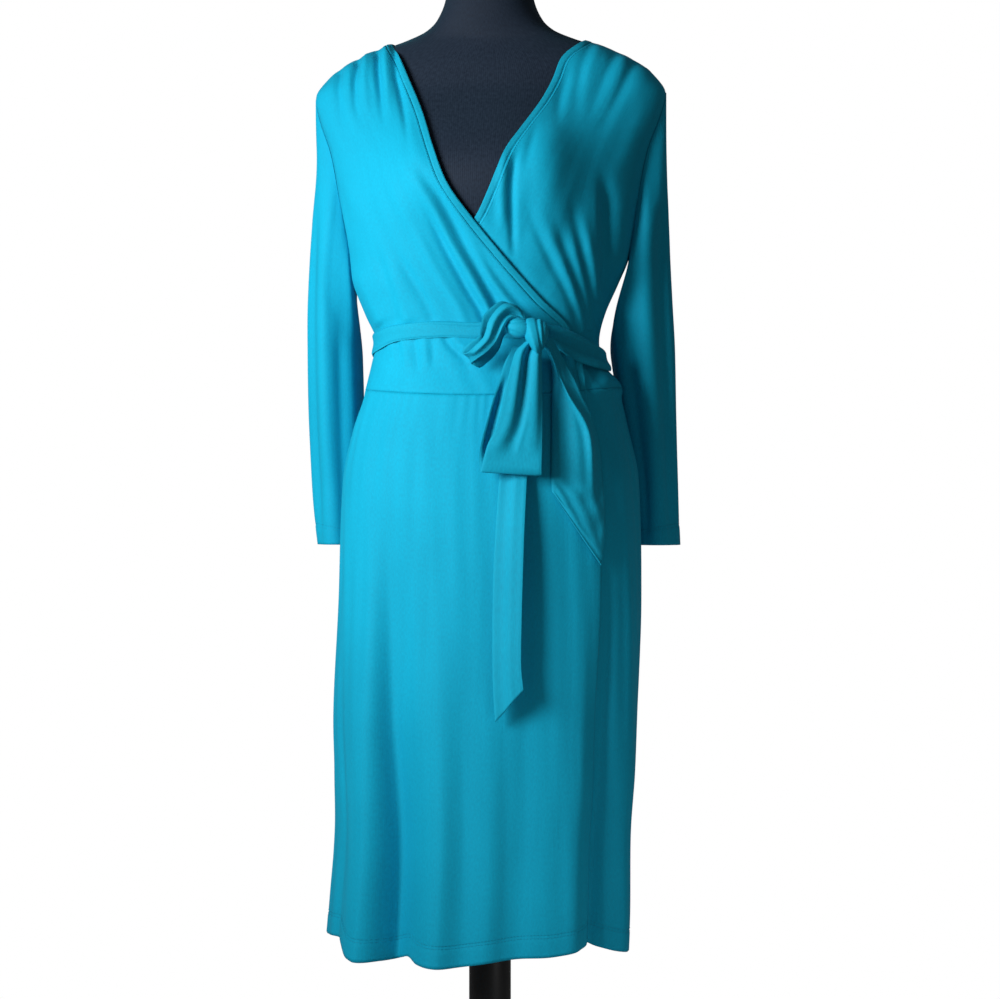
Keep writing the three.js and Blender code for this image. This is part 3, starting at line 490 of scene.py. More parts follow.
def back_point(s, t, extra, drop):
    """The bodice back as a patch blended between its two side edges, the waist seam and its top edge."""
    right_angle, right_z = side_edge(t, -1)
    top_angle, top_z = back_top(s, drop)
    end_angle = [back_top(np.array(v), drop)[0] for v in (0.0, 1.0)]
    angle = mix(mix(90.0, 270.0, s), top_angle, t) + mix(right_angle, 360 - right_angle, s)
    angle = angle - mix(mix(90.0, 270.0, s), mix(end_angle[0], end_angle[1], s), t)
    z = mix(WAIST_SEAM, top_z, t) + right_z - mix(WAIST_SEAM, SHOULDER_POINT, t)
    z = sunk_to_seam(angle, z)
    x = dress(angle, z)[..., 0]
    inside = ease(0, 0.1, s) * ease(1, 0.9, s) * ease(1, 0.97, t)
    soft = creases(BACK_CREASES, x, z) + ripples(x, z, 0.6, 24, 130)
    return place(angle, z, soft * inside + blouse(angle, z) + extra)


def back():
    """The bodice back, and its neck band as a padded strip."""

    def panel(s, t, face):
        return back_point(s, t, jersey_out(face), BAND_WIDE + 0.2)

    def band(s, t, face):
        angle, z = back_top(mix(SHOULDER_SHARE, 1 - SHOULDER_SHARE, s), mix(BAND_WIDE, 0, t))
        return place(angle, z, band_out(t, face))

    cloth = wall("bodice_back_cloth", 140, 120, panel, size=(0.4, 0.42))
    return cloth, wall("back_neck_band", 160, 14, band, size=(0.2, 0.008))


SLEEVE_LEFT = table("z outer inner back deep", """
784 212 163 79 42, 830 216 160 77 42, 866 218 159 76 42, 940 220 158 66 44, 1015 219 158 54 46,
1073 217 158 44 45, 1165 208 163 25 45, 1240 199 160 14 42, 1307 201 165 4 36
""")
SLEEVE_RIGHT = table("z outer inner back deep", """
784 215 163 79 42, 866 212 158 76 42, 940 211 147 67 44, 1015 210 136 56 46, 1073 207 133 46 47,
1120 205 141 38 47, 1165 204 152 25 46, 1240 202 160 14 42, 1307 201 165 4 36
""")
# Lengthwise creases of the sleeves: turn round the arm, top and bottom height, width in degrees, height
SLEEVE_CREASES = table("turn top bottom wide out", """
22 1250 820 12 2.5, 44 1200 800 15 -4, 78 1240 880 15 3.5, 112 1080 800 14 -4, 140 1160 900 14 3,
215 1120 830 18 -3, 300 1200 860 24 -3
""")


def sleeve_point(hand, tab, s, t, out):
    """The sleeve at a turn round the arm and a share of the way down, moved outwards by out."""
    turn = 360 * s
    angle, top = armhole(turn)
    start = place(angle, top, 0.75)
    z = mix(top, CUFF, t)
    tube = read(tab, "z", z)
    out = out + ripples(190 * s, z, 0.7, 22, 120) * ease(0.06, 0.3, t)
    for c in rows_of(SLEEVE_CREASES):
        along = ease(c["bottom"] - 60, c["bottom"] + 60, z) * ease(c["top"], c["top"] - 80, z)
        out = out + c["out"] * along * bell(wrapped(turn - c["turn"]) / c["wide"])
    cos, sin = np.cos(np.radians(turn)), np.sin(np.radians(turn))
    drawn = ease(0, 0.34, t)
    half = (tube["outer"] - tube["inner"]) / 2
    x = mix(start[..., 0] + 1.0, (tube["outer"] + tube["inner"]) / 2 + (half + out) * cos, drawn)
    y = mix(start[..., 1], tube["back"] - (tube["deep"] + out) * sin, drawn)
    return np.stack([hand * (x + (1 - drawn) * out * cos), y - (1 - drawn) * out * sin, z], -1)


def sleeve(name, hand, tab):
    """A sleeve: lines from the armhole down to the turned-up cuff, drawn in to an elliptic tube."""

    def point(s, t, face):
        turned_up = turned_edge((1 - t) * SLEEVE_LONG, CUFF_TURNED) * face
        return sleeve_point(hand, tab, s, t, (face - 0.5) * CLOTH + turned_up)

    return wall(name, 92, 150, point, ring=True, size=(0.28, 0.5))


# Folds of the skirt: angles at hem and top, height at which they start, widths to the left and right
SKIRT_FOLDS = table("hem top start left right out", """
-90 -86 740 11 11 5, -61 -62 800 5 5 -5, -43 -46 860 9 5 9, -32 -36 900 4 14 -36, -10 -13 800 12 5 9,
-1 -4 760 5 6 -3, 8 6 740 5 5 3, 18 16 760 8 7 -5, 41 39 840 12 4 8, 53 52 880 4 4 -12,
69 68 880 8 13 14, 93 90 800 8 8 3, 109 107 720 8 6 -7, 126 124 780 9 6 7, 144 145 700 6 9 -7,
161 163 800 9 7 7, 180 181 760 6 10 -7, 199 197 820 9 7 8, 217 216 740 7 9 -8, 235 237 760 9 6 7,
252 254 700 8 8 -7
""")
HEM_LINE = table("angle z", """
-180 340, -120 342, -90 344, -62 349, -56 347, -51 338, -46 331, -38 329.5, -30 334, -24 337, -18 331,
-10 329, -2 330.5, 10 336, 22 340, 31 341, 39 344, 46 348, 52 351, 57 345, 66 338, 80 335, 90 339,
120 342, 180 340
""")


def skirt_folds(angle, z):
    """Each fold is a round hump across its own line from top to hem, and grows as it falls."""
    out = 0
    for f in rows_of(SKIRT_FOLDS):
        centre = mix(f["top"], f["hem"], np.clip((f["start"] - z) / (f["start"] - HEM), 0, 1))
        turn = wrapped(angle - centre)
        wide = np.where(turn < 0, f["left"], f["right"])
        out = out + f["out"] * ease(f["start"], HEM, z) * bell(turn / wide)
    return out


def hem_at(angle):
    """Height of the hem, which dips at the ridges of the folds and rises at the corner of the wrap."""
    return read(HEM_LINE, "angle", wrapped(angle))["z"]


def skirt_point(angle, z, lap, extra):
    """The skirt's surface with its folds, small ripples and the short lip under the bodice's overhang."""
    below = WAIST_SEAM + seam_lift(angle) - z
    lip = overhang(angle) * bell(4 / 13) * bell(below / 7)
    waves = np.sin(np.radians(angle) * 58 + 4 * np.sin(np.radians(angle) * 9))
    gathers = 0.3 * waves * bell((below - 6) / 34)
    small = ripples(angle * 2.7, z, 0.7, 15, 190) * ease(0, 60, below)
    return place(angle, z, skirt_folds(angle, z) + lip + gathers + small + lap + extra)


def skirt(name, start, end, lap, columns, width):
    """A skirt panel between two angles, from the waist seam to the hem, with the hem's turned-up edge."""

    def point(s, t, face):
        drift = ease(600, HEM, mix(WAIST_SEAM, HEM, t)) * (EDGE_DRIFT if end == SKIRT_EDGE else 0)
        angle = mix(start, end + drift, s)
        hem = hem_at(angle)
        z = mix(WAIST_SEAM + seam_lift(angle) - 0.2, hem, t)
        return skirt_point(angle, z, lap(angle), turned_edge(z - hem, HEM_TURNED) * face + jersey_out(face))

    return wall(name, columns, 165, point, size=(width, 0.63))


def belt():
    """The sash round the waist: a soft band with two lengthwise folds, just off the cloth beneath."""

    def point(s, t, face):
        angle = mix(-180, 180, s)
        row = belt_at(angle)
        lap = LAP * ease(-90, -70, angle) * ease(95, 78, angle)
        crumpled = ease(26, 42, angle) * ease(92, 66, angle)
        folds = 3.4 * bell((t - 0.8) / 0.16) - 2.0 * bell((t - 0.47) / 0.11) + 2.2 * bell((t - 0.18) / 0.16)
        line = mix(0.95, 0.66, ease(-50, 2, angle))
        slack = -1.2 * bell((t - line) / 0.09) * ease(-56, -30, angle) * ease(30, 12, angle)
        soft = ripples(angle * 2.2, 20 * t, 0.45, 26, 60) + folds * crumpled + slack
        out = 3.3 - 0.7 * ease(-55, -80, angle) + lap + 1.5 * crumpled + face * 2.4 * rounded(t, 6)
        out = out + soft * ease(0, 0.12, t) * ease(1, 0.9, t)
        return place(angle, row["z"] + row["half"] * (2 * t - 1), out)

    return wall("sash_band", 360, 14, point, ring=True, size=(0.72, 0.025))


EDGES = "xl zl yl xr zr yr"
# Strips of the tied sash: left and right edge from the knot outwards, and for a loop on and back to it
SIDE_LOOP = table(EDGES, """
50 1047 -113 46 1024 -113, 38 1057 -119 37 1026 -114, 25 1060 -128 29 1024 -115,
8 1045 -134 23 1009 -116, 4.5 1031 -136 16 999 -117, 3 1022 -137 9 993 -118, -7 1015 -137 4 989 -120,
-14 1008 -136 0 988 -123, -15 1003 -137 -6 992 -129, -9 1004 -140 1 997 -135,
0 1012 -142 13 1005 -139, 8 1020 -143 22 1015 -140, 11.5 1029 -143 27 1025 -141,
14 1038 -143 31 1034 -141, 22 1050 -141 35 1040 -139, 31 1057 -137 41 1043 -136,
42 1056 -131 48 1040 -132, 52 1047 -127 54 1032 -128
""")
HANGING_LOOP = table(EDGES, """
38 1012 -117 62 1008 -112, 29 992 -123 66 988 -113, 23 970 -128 67 968 -115,
17.5 951 -132 67 950 -118, 12 930 -137 67.5 930 -121, 7.5 913 -140 68 913 -124,
4.2 897 -141 69 895 -124, 3.4 882 -141 70 876 -129, 4.6 873.5 -143 71 869.5 -134,
7 881 -145 71.5 877 -139, 13.5 903 -148 72 903 -136, 23 922 -148 72 922 -133,
28.5 943 -147 72 943 -131, 31 956 -146 72 956 -130, 37.5 985 -142 71.5 984 -128,
43 1005 -135 71 1000 -127, 53 1016 -129 71 1010 -126
""")
LONG_TAIL = table(EDGES, """
46 1006 -109 60 1003 -109, 30 960 -111 58 958 -111, 25 915 -116 56 913 -116,
23 863 -124 54.5 863 -129, 20 810 -131 53 812 -140, 18 760 -135 52 766 -146,
17.5 700 -139 51 716 -150, 18.5 640 -142 50.5 662 -152, 21 600 -143 53 636 -152
""")
# The wide tail lies on the dress, so its y is how far it stands off in front
WIDE_TAIL = table(EDGES, """
70 1016 24 82 1022 26, 78 996 14 94 998 22, 80 976 10 106 977 24, 80 956 9 115 957 24,
80 936 8 125 938 24, 80 916 7 132 918 22, 80 896 7 136 899 19, 80 874 7 138 865 13,
80 862 7 139 822 12, 81 851 7 134 770 11
""")


def strip_surface(tab, thick, shape, drape):
    """point(s, t, face) of a strip of doubled jersey ruled between its edges, pleated along its normal by
    shape(s, t). Where it is draped, its y columns are how far it stands off the dress in front."""
    line = with_run(tab, ["xl", "zl", "xr", "zr", "yl", "yr"])

    def base(s, t):
        row = read(line, "run", t)
        x, y, z = (mix(row[k + "l"], row[k + "r"], s) for k in "xyz")
        if drape:
            y = dress(angle_at(x, z), z)[..., 1] - y
        return np.stack([x, y, z], -1)

    def point(s, t, face):
        low, high = np.clip(t - 0.006, 0, 1), np.clip(t + 0.006, 0, 1)
        normal = unit(np.cross(base(s + 0.02, t) - base(s - 0.02, t), base(s, high) - base(s, low)))
        out = (face - 0.5) * thick * rounded(s, 12) + shape(s, t)
        return base(s, t) + normal * out[..., None]

    return point


def strip(name, tab, thick, shape, drape=False, columns=36, rows=160, size=(0.05, 0.2)):
    """The mesh of one strip of the tied sash."""
    return wall(name, columns, rows, strip_surface(tab, thick, shape, drape), size=size)


def side_loop_pleats(s, t):
    """Back ply: a hollow. Front ply: a round ridge along its middle, a soft valley near the lower edge."""
    ply = ease(0.5, 0.6, t)
    folds = 3.6 * bell((s - 0.34) / 0.22) - 3.2 * bell((s - 0.78) / 0.14) * ease(0.62, 0.8, t)
    return mix(-2.0 * np.sin(np.pi * s), folds * ease(0.99, 0.9, t), ply)


def hanging_loop_pleats(s, t):
    """Front ply: ridge, deep valley, ridge, closer to the left as they fall. Back ply: one soft valley."""
    front = ease(0.54, 0.62, t)
    down = np.clip(1 - (t - 0.55) / 0.45, 0, 1)
    valley = mix(0.46, 0.50, ease(0, 0.5, down)) - 0.06 * ease(0.5, 1, down)
    deep = mix(5.5, 3.0, ease(0.2, 0.9, down))
    pleats = -deep * bell((s - valley) / 0.105) + 3.4 * bell((s - valley + 0.24) / 0.14)
    pleats = pleats + mix(3.6, 2.2, down) * bell((s - 0.80) / 0.15) - 1.6 * bell((s - 0.97) / 0.06)
    pleats = pleats + 1.4 * bell((s - valley - 0.13) / 0.05) * ease(0.45, 0.9, down)
    back_ply = 8 * bell((s - 0.15) / 0.09) * ease(0.1, 0.22, t) * ease(0.48, 0.38, t)
    return front * pleats * mix(1, 0.6, ease(0.3, 1, down)) + (1 - front) * back_ply


def long_tail_pleats(s, t):
    """One soft lengthwise ridge, and a valley beside it that starts below the knot."""
    return 1.6 * bell((s - 0.28) / 0.2) - 1.4 * bell((s - 0.62) / 0.16) * ease(0.1, 0.4, t)


def wide_tail_pleats(s, t):
    """A thick roll along the right edge, a crease beside it, and short wrinkles near the cut end."""
    line = mix(0.22, 0.76, ease(0.05, 0.5, t))
    fade = ease(0.95, 0.6, t)
    roll = 6.0 * ease(line - 0.02, mix(line, 1, 0.85), s) * fade
    crease = -5.0 * bell((s - line + 0.02) / 0.07) * ease(0, 0.1, t) * ease(0.85, 0.5, t)
    soft = 1.6 * bell((s - 0.3) / 0.12) * ease(0.25, 0.45, t) * ease(0.95, 0.7, t)
    soft = soft - 1.2 * bell((s - 0.52) / 0.1) * fade
    low = ease(0.66, 0.84, t) * ease(0.985, 0.93, t) * ease(0, 0.2, s) * ease(1, 0.85, s)
    wrinkles = 0.55 * low * (np.sin(s * 12 + t * 46) + np.sin(s * 14 - t * 41 + 1))
    hem = 0.9 * bell((t - 0.985) / 0.012)
    return roll + crease + soft + wrinkles + hem


def egg(name, centre, size, lean, taper, press):
    """A closed egg on a grid of longitude and latitude, wider at the top by its taper, leaning sideways and
    pressed in by press(x, z)."""
    s, t = np.meshgrid(np.arange(96) / 96, np.linspace(0, 1, 61)[1:-1])
    lon, lat = 2 * np.pi * s, np.pi * (t - 0.5)
    unit_x, unit_y, unit_z = np.cos(lat) * np.cos(lon), np.cos(lat) * np.sin(lon), np.sin(lat)
    k = 1 + press(unit_x, unit_z)
    x, y, z = size[0] * unit_x * k * (1 + taper * unit_z), size[1] * unit_y * k, size[2] * unit_z * k
    cos, sin = np.cos(np.radians(lean)), np.sin(np.radians(lean))
    points = np.stack([x * cos + z * sin, y, z * cos - x * sin], -1) + centre
    return capped(name, points, np.stack([s * 2 * np.pi * size[0], (t - 0.5) * np.pi * size[2]], -1) * 0.001)


def lobe_press(x, z):
    """Two soft creases that run in towards the wrap."""
    return -0.05 * bell((z - 0.55 - 0.4 * x) / 0.14) - 0.06 * bell((z + 0.6 + 0.2 * x) / 0.16)


def wrap_press(x, z):
    """Creases along the turn of sash that crosses the knot, stronger at its ends."""
    ridge = 0.10 * bell((x + 0.30 + 0.1 * z) / 0.26)
    return ridge - 0.09 * bell((x - 0.34 + 0.15 * z) / 0.12) - 0.07 * bell((x - 0.72 + 0.2 * z) / 0.10)


def form():
    """The form's body: the dress sections drawn in by the room they state, closed flat at both ends."""
    z = np.concatenate([np.linspace(770, 1300, 90), np.linspace(1303, FORM_TOP, 75)])
    s, z = np.meshgrid(np.arange(150) / 150, z)
    angle = 360 * s + 180
    row = read(SECTIONS, "z", z)
    inset = row["ease"] + row["side"] * np.sin(np.radians(angle)) ** 6
    front_x = dress(angle, z)[..., 0]
    beside = lambda edge: front_x - read(edge, "z", z)["x"]
    bare = ease(-30, -8, beside(UPPER_EDGE)) * ease(30, 8, beside(UNDER_EDGE))
    bare = np.where(np.cos(np.radians(angle)) > 0, bare, 0)
    inset += 10 * (1 - bare) * ease(1380, 1366, z)
    points = place(angle, z, -inset)
    points[..., 2] = z
    return capped("form_torso", points, np.stack([s * 0.7, z * 0.001], -1))


def turned(name, profile, foot, back=0.0):
    """A turned piece on the z axis from its profile of radius and height, closed flat at both ends. Parabolas
    round its corners over CORNER."""
    profile = np.array(profile, float)
    before, at, after = profile[:-2], profile[1:-1], profile[2:]
    start, end = at + CORNER * unit(before - at), at + CORNER * unit(after - at)
    k = np.linspace(0, 1, 5)[None, :, None]
    corners = (1 - k) ** 2 * start[:, None] + 2 * k * (1 - k) * at[:, None] + k**2 * end[:, None]
    line = np.concatenate([profile[:1], corners.reshape(-1, 2), profile[-1:]])
    turn = 2 * np.pi * np.arange(128) / 128
    radius, height = line[:, :1], line[:, 1:] + foot
    x, y = radius * np.cos(turn), radius * np.sin(turn) + back
    return capped(name, np.stack([x, y, height + 0 * turn], -1))


def threads(name, runs):
    """Stitches in one mesh. Each is a capsule: rings of six points at four stations from start to end."""
    start, end = (np.concatenate([run[k] for run in runs]) for k in (0, 1))
    along = unit(end - start)
    side = unit(np.cross(along, [0.03, 0.02, 1.0]))
    turn = np.arange(6) * np.pi / 3
    ring = np.cos(turn)[:, None] * side[:, None] + np.sin(turn)[:, None] * np.cross(along, side)[:, None]
    share, thick = np.array([0, 0.22, 0.78, 1.0]), np.array([0.35, 1, 1, 0.35]) * THREAD
    middle = start[:, None] + (end - start)[:, None] * share[:, None]
    points = middle[:, :, None] + ring[:, None] * thick[:, None, None]
    caps = np.array([[3, 2, 1, 0], [0, 5, 4, 3], [18, 19, 20, 21], [21, 22, 23, 18]])
    one = np.concatenate([grid_faces(6, 3, True), caps])
    faces = (one[None] + 24 * np.arange(len(start))[:, None, None]).reshape(-1, 4)
    if volume(points.reshape(-1, 3), faces) < 0:
        faces = faces[:, ::-1]
    return mesh_piece(name, points, faces, np.zeros((points.size // 3, 2)))


def stitch_run(point, count, filled=0.72):
    """Starts and ends of the stitches along the line point(share), with gaps between them."""
    first = np.arange(count) / count
    return point(first), point(first + filled / count)


def hem_run(start, end, lap, above):
    """Stitches round a skirt panel at a height above its hem."""
    at = lambda share: mix(start + 0.4, end - 0.4, share)
    line = lambda share: skirt_point(at(share), hem_at(at(share)) + above, lap(at(share)), THREAD_OUT)
    return stitch_run(line, int((end - start) / 1.2))


def cuff_run(hand, tab, above):
    """Stitches round a sleeve at a height above its cuff."""
    down, out = 1 - above / SLEEVE_LONG, CLOTH / 2 + THREAD_OUT - OUTER
    return stitch_run(lambda share: sleeve_point(hand, tab, share, down + 0 * share, out), 64)


def band_run(hand, edge, point, beside):
    """Stitches along a wrap front's neck band, a share of a row beside its seam."""
    line = lambda t: point(band_start(hand, edge, t) + beside, t, THREAD_OUT)
    return stitch_run(lambda share: line(mix(0.02, 0.985, share)), 140)


def end_run(tab, thick, shape, drape, at, count):
    """Stitches across the cut end of a sash tail."""
    surface = strip_surface(tab, thick + 0.2, shape, drape)
    return stitch_run(lambda share: surface(mix(0.05, 0.95, share), at + 0 * share, 1.0), count)


upper_front, upper_band = front("upper", -1, UPPER_EDGE, upper_point, 136, 180)
under_front, under_band = front("under", 1, UNDER_EDGE, under_point, 130, 180)
back_cloth, back_band = back()
left_sleeve = sleeve("left_sleeve_cloth", -1, SLEEVE_LEFT)
right_sleeve = sleeve("right_sleeve_cloth", 1, SLEEVE_RIGHT)
upper_lap = lambda angle: LAP * ease(-90, -58, angle)
no_lap = lambda angle: 0 * angle
upper_skirt = skirt("upper_skirt", -90, SKIRT_EDGE, upper_lap, 150, 0.4)
under_skirt = skirt("under_skirt", SKIRT_LAP, 90, no_lap, 140, 0.38)
back_skirt = skirt("back_skirt", 90, 270, no_lap, 150, 0.5)
sash = belt()
bow_knot = egg("bow_knot", (46, -128, 1031), (15.5, 12, 11), 12, 0.0, lobe_press)
knot_wrap = egg("bow_knot_wrap", (65, -126, 1022), (13, 15, 20), -8, 0.42, wrap_press)
side_loop = strip("bow_side_loop", SIDE_LOOP, 2.0, side_loop_pleats)
hanging_loop = strip("bow_hanging_loop", HANGING_LOOP, 2.0, hanging_loop_pleats, rows=260)
long_tail = strip("sash_long_tail", LONG_TAIL, 2.2, long_tail_pleats, columns=20)
wide_tail = strip("sash_wide_tail", WIDE_TAIL, 2.0, wide_tail_pleats, drape=True, rows=200)
torso = form()
neck_cap = turned(
    "form_neck_cap", [[40, 0], [46, 0], [50, 4], [50, 10], [46, 14], [40, 14]], FORM_TOP + 0.2, -6
)
pole = turned("stand_round_pole", [[18, 0], [24, 0], [24, 751.8], [18, 751.8]], 18.1)
base = turned(
    "stand_round_base",
    [[180, 0], [190, 0], [190, 11], [180, 18], [56, 22], [40, 44], [29, 44], [24.3, 41], [24.3, 36]], 0,
)
low_edge = SKIRT_EDGE + EDGE_DRIFT
hem_stitches = threads("hem_stitches", [
    hem_run(start, end, lap, above)
    for start, end, lap in ((-90, low_edge, upper_lap), (low_edge + 0.5, 90, no_lap), (90, 270, no_lap))
    for above in (HEM_TURNED - 1.5, HEM_TURNED + 2)
])
cuff_stitches = threads("cuff_stitches", [
    cuff_run(hand, tab, above)
    for hand, tab in ((-1, SLEEVE_LEFT), (1, SLEEVE_RIGHT))
    for above in (CUFF_TURNED - 1.5, CUFF_TURNED + 2)
])
band_stitches = threads("neck_band_stitches", [
    band_run(-1, UPPER_EDGE, upper_point, -0.008), band_run(1, UNDER_EDGE, under_point, -0.008),
])
tail_stitches = threads("sash_end_stitches", [
    end_run(LONG_TAIL, 2.2, long_tail_pleats, False, 0.982, 12),
    end_run(WIDE_TAIL, 2.0, wide_tail_pleats, True, 0.972, 26),
])


def node_tree(material):
    """The material's nodes, its links and its Principled shader."""
    material.use_nodes = True
    nodes, links = material.node_tree.nodes, material.node_tree.links
    return nodes, links, nodes["Principled BSDF"]


def shader_group(name, inputs):
    """A shader node group with these inputs and their values, its outputs, and its two end nodes."""
    group = bpy.data.node_groups.new(name, "ShaderNodeTree")
    for socket, value in inputs.items():
        kind = "NodeSocketColor" if isinstance(value, tuple) else "NodeSocketFloat"
        group.interface.new_socket(socket, in_out="INPUT", socket_type=kind).default_value = value
    for socket, kind in (("Colour", "Color"), ("Height", "Float"), ("Roughness", "Float")):
        group.interface.new_socket(socket, in_out="OUTPUT", socket_type="NodeSocket" + kind)
    return group, group.nodes.new("NodeGroupInput").outputs, group.nodes.new("NodeGroupOutput").inputs


def fill_in(node, values):
    """Sets a node's inputs by name."""
    for name, value in values.items():
        node.inputs[name].default_value = value


def maths(group, kind, *values):
    """A Math node on sockets or numbers."""
    node = group.nodes.new("ShaderNodeMath")
    node.operation = kind
    for socket, value in zip(node.inputs, values):
        if isinstance(value, (int, float)):
            socket.default_value = value
        else:
            group.links.new(value, socket)
    return node.outputs[0]


def noise(group, vector, scale, detail, stretch=(1, 1, 1)):
    """Noise from -0.5 to 0.5 on stretched coordinates."""
    mapping, texture = group.nodes.new("ShaderNodeMapping"), group.nodes.new("ShaderNodeTexNoise")
    fill_in(mapping, {"Scale": stretch})
    fill_in(texture, {"Scale": scale, "Detail": detail})
    group.links.new(vector, mapping.inputs["Vector"])
    group.links.new(mapping.outputs[0], texture.inputs["Vector"])
    return maths(group, "SUBTRACT", texture.outputs["Fac"], 0.5)


def tinted(group, colour, deep, share):
    """Colours from deep to colour by a share that is 0.5 on average."""
    blend = group.nodes.new("ShaderNodeMix")
    blend.data_type = "RGBA"
    group.links.new(share, blend.inputs["Factor"])
    group.links.new(deep, blend.inputs["A"])
    group.links.new(colour, blend.inputs["B"])
    return blend.outputs["Result"]


def knit_group():
    """Knitted jersey on the cloth's own run in metres: wales and courses as sines, loops of uneven tone,
    faint streaks down the cloth, and slow clouds of tone from wear. Height is in millimetres."""
    group, given, out = shader_group("jersey_knit", {
        "Colour": (0, 0.5, 0.5, 1), "Deep Colour": (0, 0.3, 0.3, 1), "Wales": 900.0, "Loop Height": 0.03,
        "Streaks": 1.0, "Clouds": 1.0,
    })
    cloth, place_in = group.nodes.new("ShaderNodeUVMap"), group.nodes.new("ShaderNodeTexCoord")
    cloth.uv_map = "cloth"
    parts = group.nodes.new("ShaderNodeSeparateXYZ")
    group.links.new(cloth.outputs[0], parts.inputs[0])
    times = lambda a, b: maths(group, "MULTIPLY", a, b)
    plus = lambda a, b: maths(group, "ADD", a, b)
    turns = times(given["Wales"], 2 * np.pi)
    wales = maths(group, "SINE", times(parts.outputs["X"], turns))
    courses = maths(group, "SINE", times(parts.outputs["Y"], times(turns, 1.3)))
    heather = noise(group, cloth.outputs[0], 1.0, 2.0, (620, 260, 1))
    streak = noise(group, cloth.outputs[0], 1.0, 3.0, (105, 7, 1))
    clouds = noise(group, place_in.outputs["Object"], 8.0, 2.0)
    tone = maths(group, "MULTIPLY_ADD", heather, 1.5, 0.5)
    tone = plus(tone, times(streak, times(given["Streaks"], 0.45)))
    tone = plus(tone, times(clouds, given["Clouds"]))
    group.links.new(tinted(group, given["Colour"], given["Deep Colour"], tone), out["Colour"])
    raised = times(plus(wales, times(courses, 0.5)), given["Loop Height"])
    raised = plus(raised, times(streak, times(given["Streaks"], 0.35)))
    group.links.new(plus(raised, times(heather, 0.12)), out["Height"])
    group.links.new(plus(times(heather, 0.25), 0.68), out["Roughness"])
    return group


def paint_group():
    """Satin paint on metal: a fine orange peel, faint scuffs and uneven gloss. Height is in millimetres."""
    group, given, out = shader_group(
        "satin_paint", {"Colour": (0, 0, 0, 1), "Scuff Colour": (0.02, 0.02, 0.02, 1)}
    )
    place_in = group.nodes.new("ShaderNodeTexCoord")
    peel = noise(group, place_in.outputs["Object"], 900.0, 1.0)
    scuffs = noise(group, place_in.outputs["Object"], 40.0, 5.0, (1, 1, 0.3))
    share = maths(group, "MULTIPLY_ADD", scuffs, 2.2, 0.1)
    group.links.new(tinted(group, given["Scuff Colour"], given["Colour"], share), out["Colour"])
    group.links.new(maths(group, "MULTIPLY", peel, 0.03), out["Height"])
    group.links.new(maths(group, "ADD", maths(group, "MULTIPLY", scuffs, 0.5), 0.42), out["Roughness"])
    return group


def finished(name, group, values, sheen, specular):
    """A material of one group with its own values, and a Principled shader with this sheen and specular."""
    material = bpy.data.materials.new(name)
    nodes, links, shader = node_tree(material)
    effect, bump = nodes.new("ShaderNodeGroup"), nodes.new("ShaderNodeBump")
    effect.node_tree = group
    fill_in(effect, values)
    fill_in(bump, {"Distance": 0.001})
    links.new(effect.outputs["Colour"], shader.inputs["Base Color"])
    links.new(effect.outputs["Roughness"], shader.inputs["Roughness"])
    links.new(effect.outputs["Height"], bump.inputs["Height"])
    links.new(bump.outputs["Normal"], shader.inputs["Normal"])
    fill_in(shader, {"Sheen Weight": sheen, "Sheen Roughness": 0.45, "Sheen Tint": SHEEN_TINT,
                     "Specular IOR Level": specular})
    return material


def jersey(name, colour, deep, sheen, specular, values):
    """A finish of knitted jersey in two tones."""
    values = {"Colour": (*colour, 1), "Deep Colour": (*deep, 1), **values}
    return finished(name, knit, values, sheen, specular)


SHEEN_TINT = (0.1, 0.75, 1.0, 1.0)
knit, paint = knit_group(), paint_group()
FINISHES = {
    "dress_jersey": jersey("teal_jersey", (0.005, 0.385, 0.585), (0.004, 0.305, 0.475), 0.12, 0.08, {}),
    "neck_band": jersey("teal_neck_band", (0.006, 0.36, 0.54), (0.004, 0.27, 0.41), 0.18, 0.08,
                        {"Streaks": 0.2, "Clouds": 0.6, "Loop Height": 0.05}),
    "sash_jersey": jersey("teal_sash_jersey", (0.006, 0.365, 0.545), (0.004, 0.28, 0.43), 0.14, 0.10,
                          {"Streaks": 0.5}),
    "thread": jersey("teal_thread", (0.005, 0.32, 0.48), (0.004, 0.25, 0.38), 0.1, 0.2,
                     {"Streaks": 0.0, "Clouds": 0.3, "Loop Height": 0.0}),
    "form_cover": jersey("black_knit_cover", (0.017, 0.028, 0.048), (0.007, 0.012, 0.023), 0.08, 0.12,
                         {"Wales": 700.0, "Loop Height": 0.04, "Streaks": 0.15}),
    "stand_metal": finished(
        "satin_black_paint", paint,
        {"Colour": (0.004, 0.004, 0.0045, 1), "Scuff Colour": (0.012, 0.012, 0.013, 1)}, 0.0, 0.35),
}

STANDS_FOR = {
    "dress_jersey": [
        (upper_front, "front_upper"), (under_front, "front_under"), (back_cloth, "bodice_back"),
        (left_sleeve, "sleeve_left"), (right_sleeve, "sleeve_right"), (upper_skirt, "skirt_upper"),
        (under_skirt, "skirt_under"), (back_skirt, "skirt_back"),
    ],
    "neck_band": [(upper_band, "band_upper"), (under_band, "band_under"), (back_band, "band_back")],
    "sash_jersey": [
        (sash, "sash_belt"), (bow_knot, "sash_knot"), (knot_wrap, "sash_knot"), (side_loop, "sash_loop_side"),
        (hanging_loop, "sash_loop_down"), (long_tail, "sash_tail_long"), (wide_tail, "sash_tail_wide"),
    ],
    "form_cover": [(torso, "form_body")],
    "stand_metal": [(neck_cap, "form_cap"), (pole, "stand_pole"), (base, "stand_base")],
    "thread": [(hem_stitches, ""), (cuff_stitches, ""), (band_stitches, ""), (tail_stitches, "")],
}
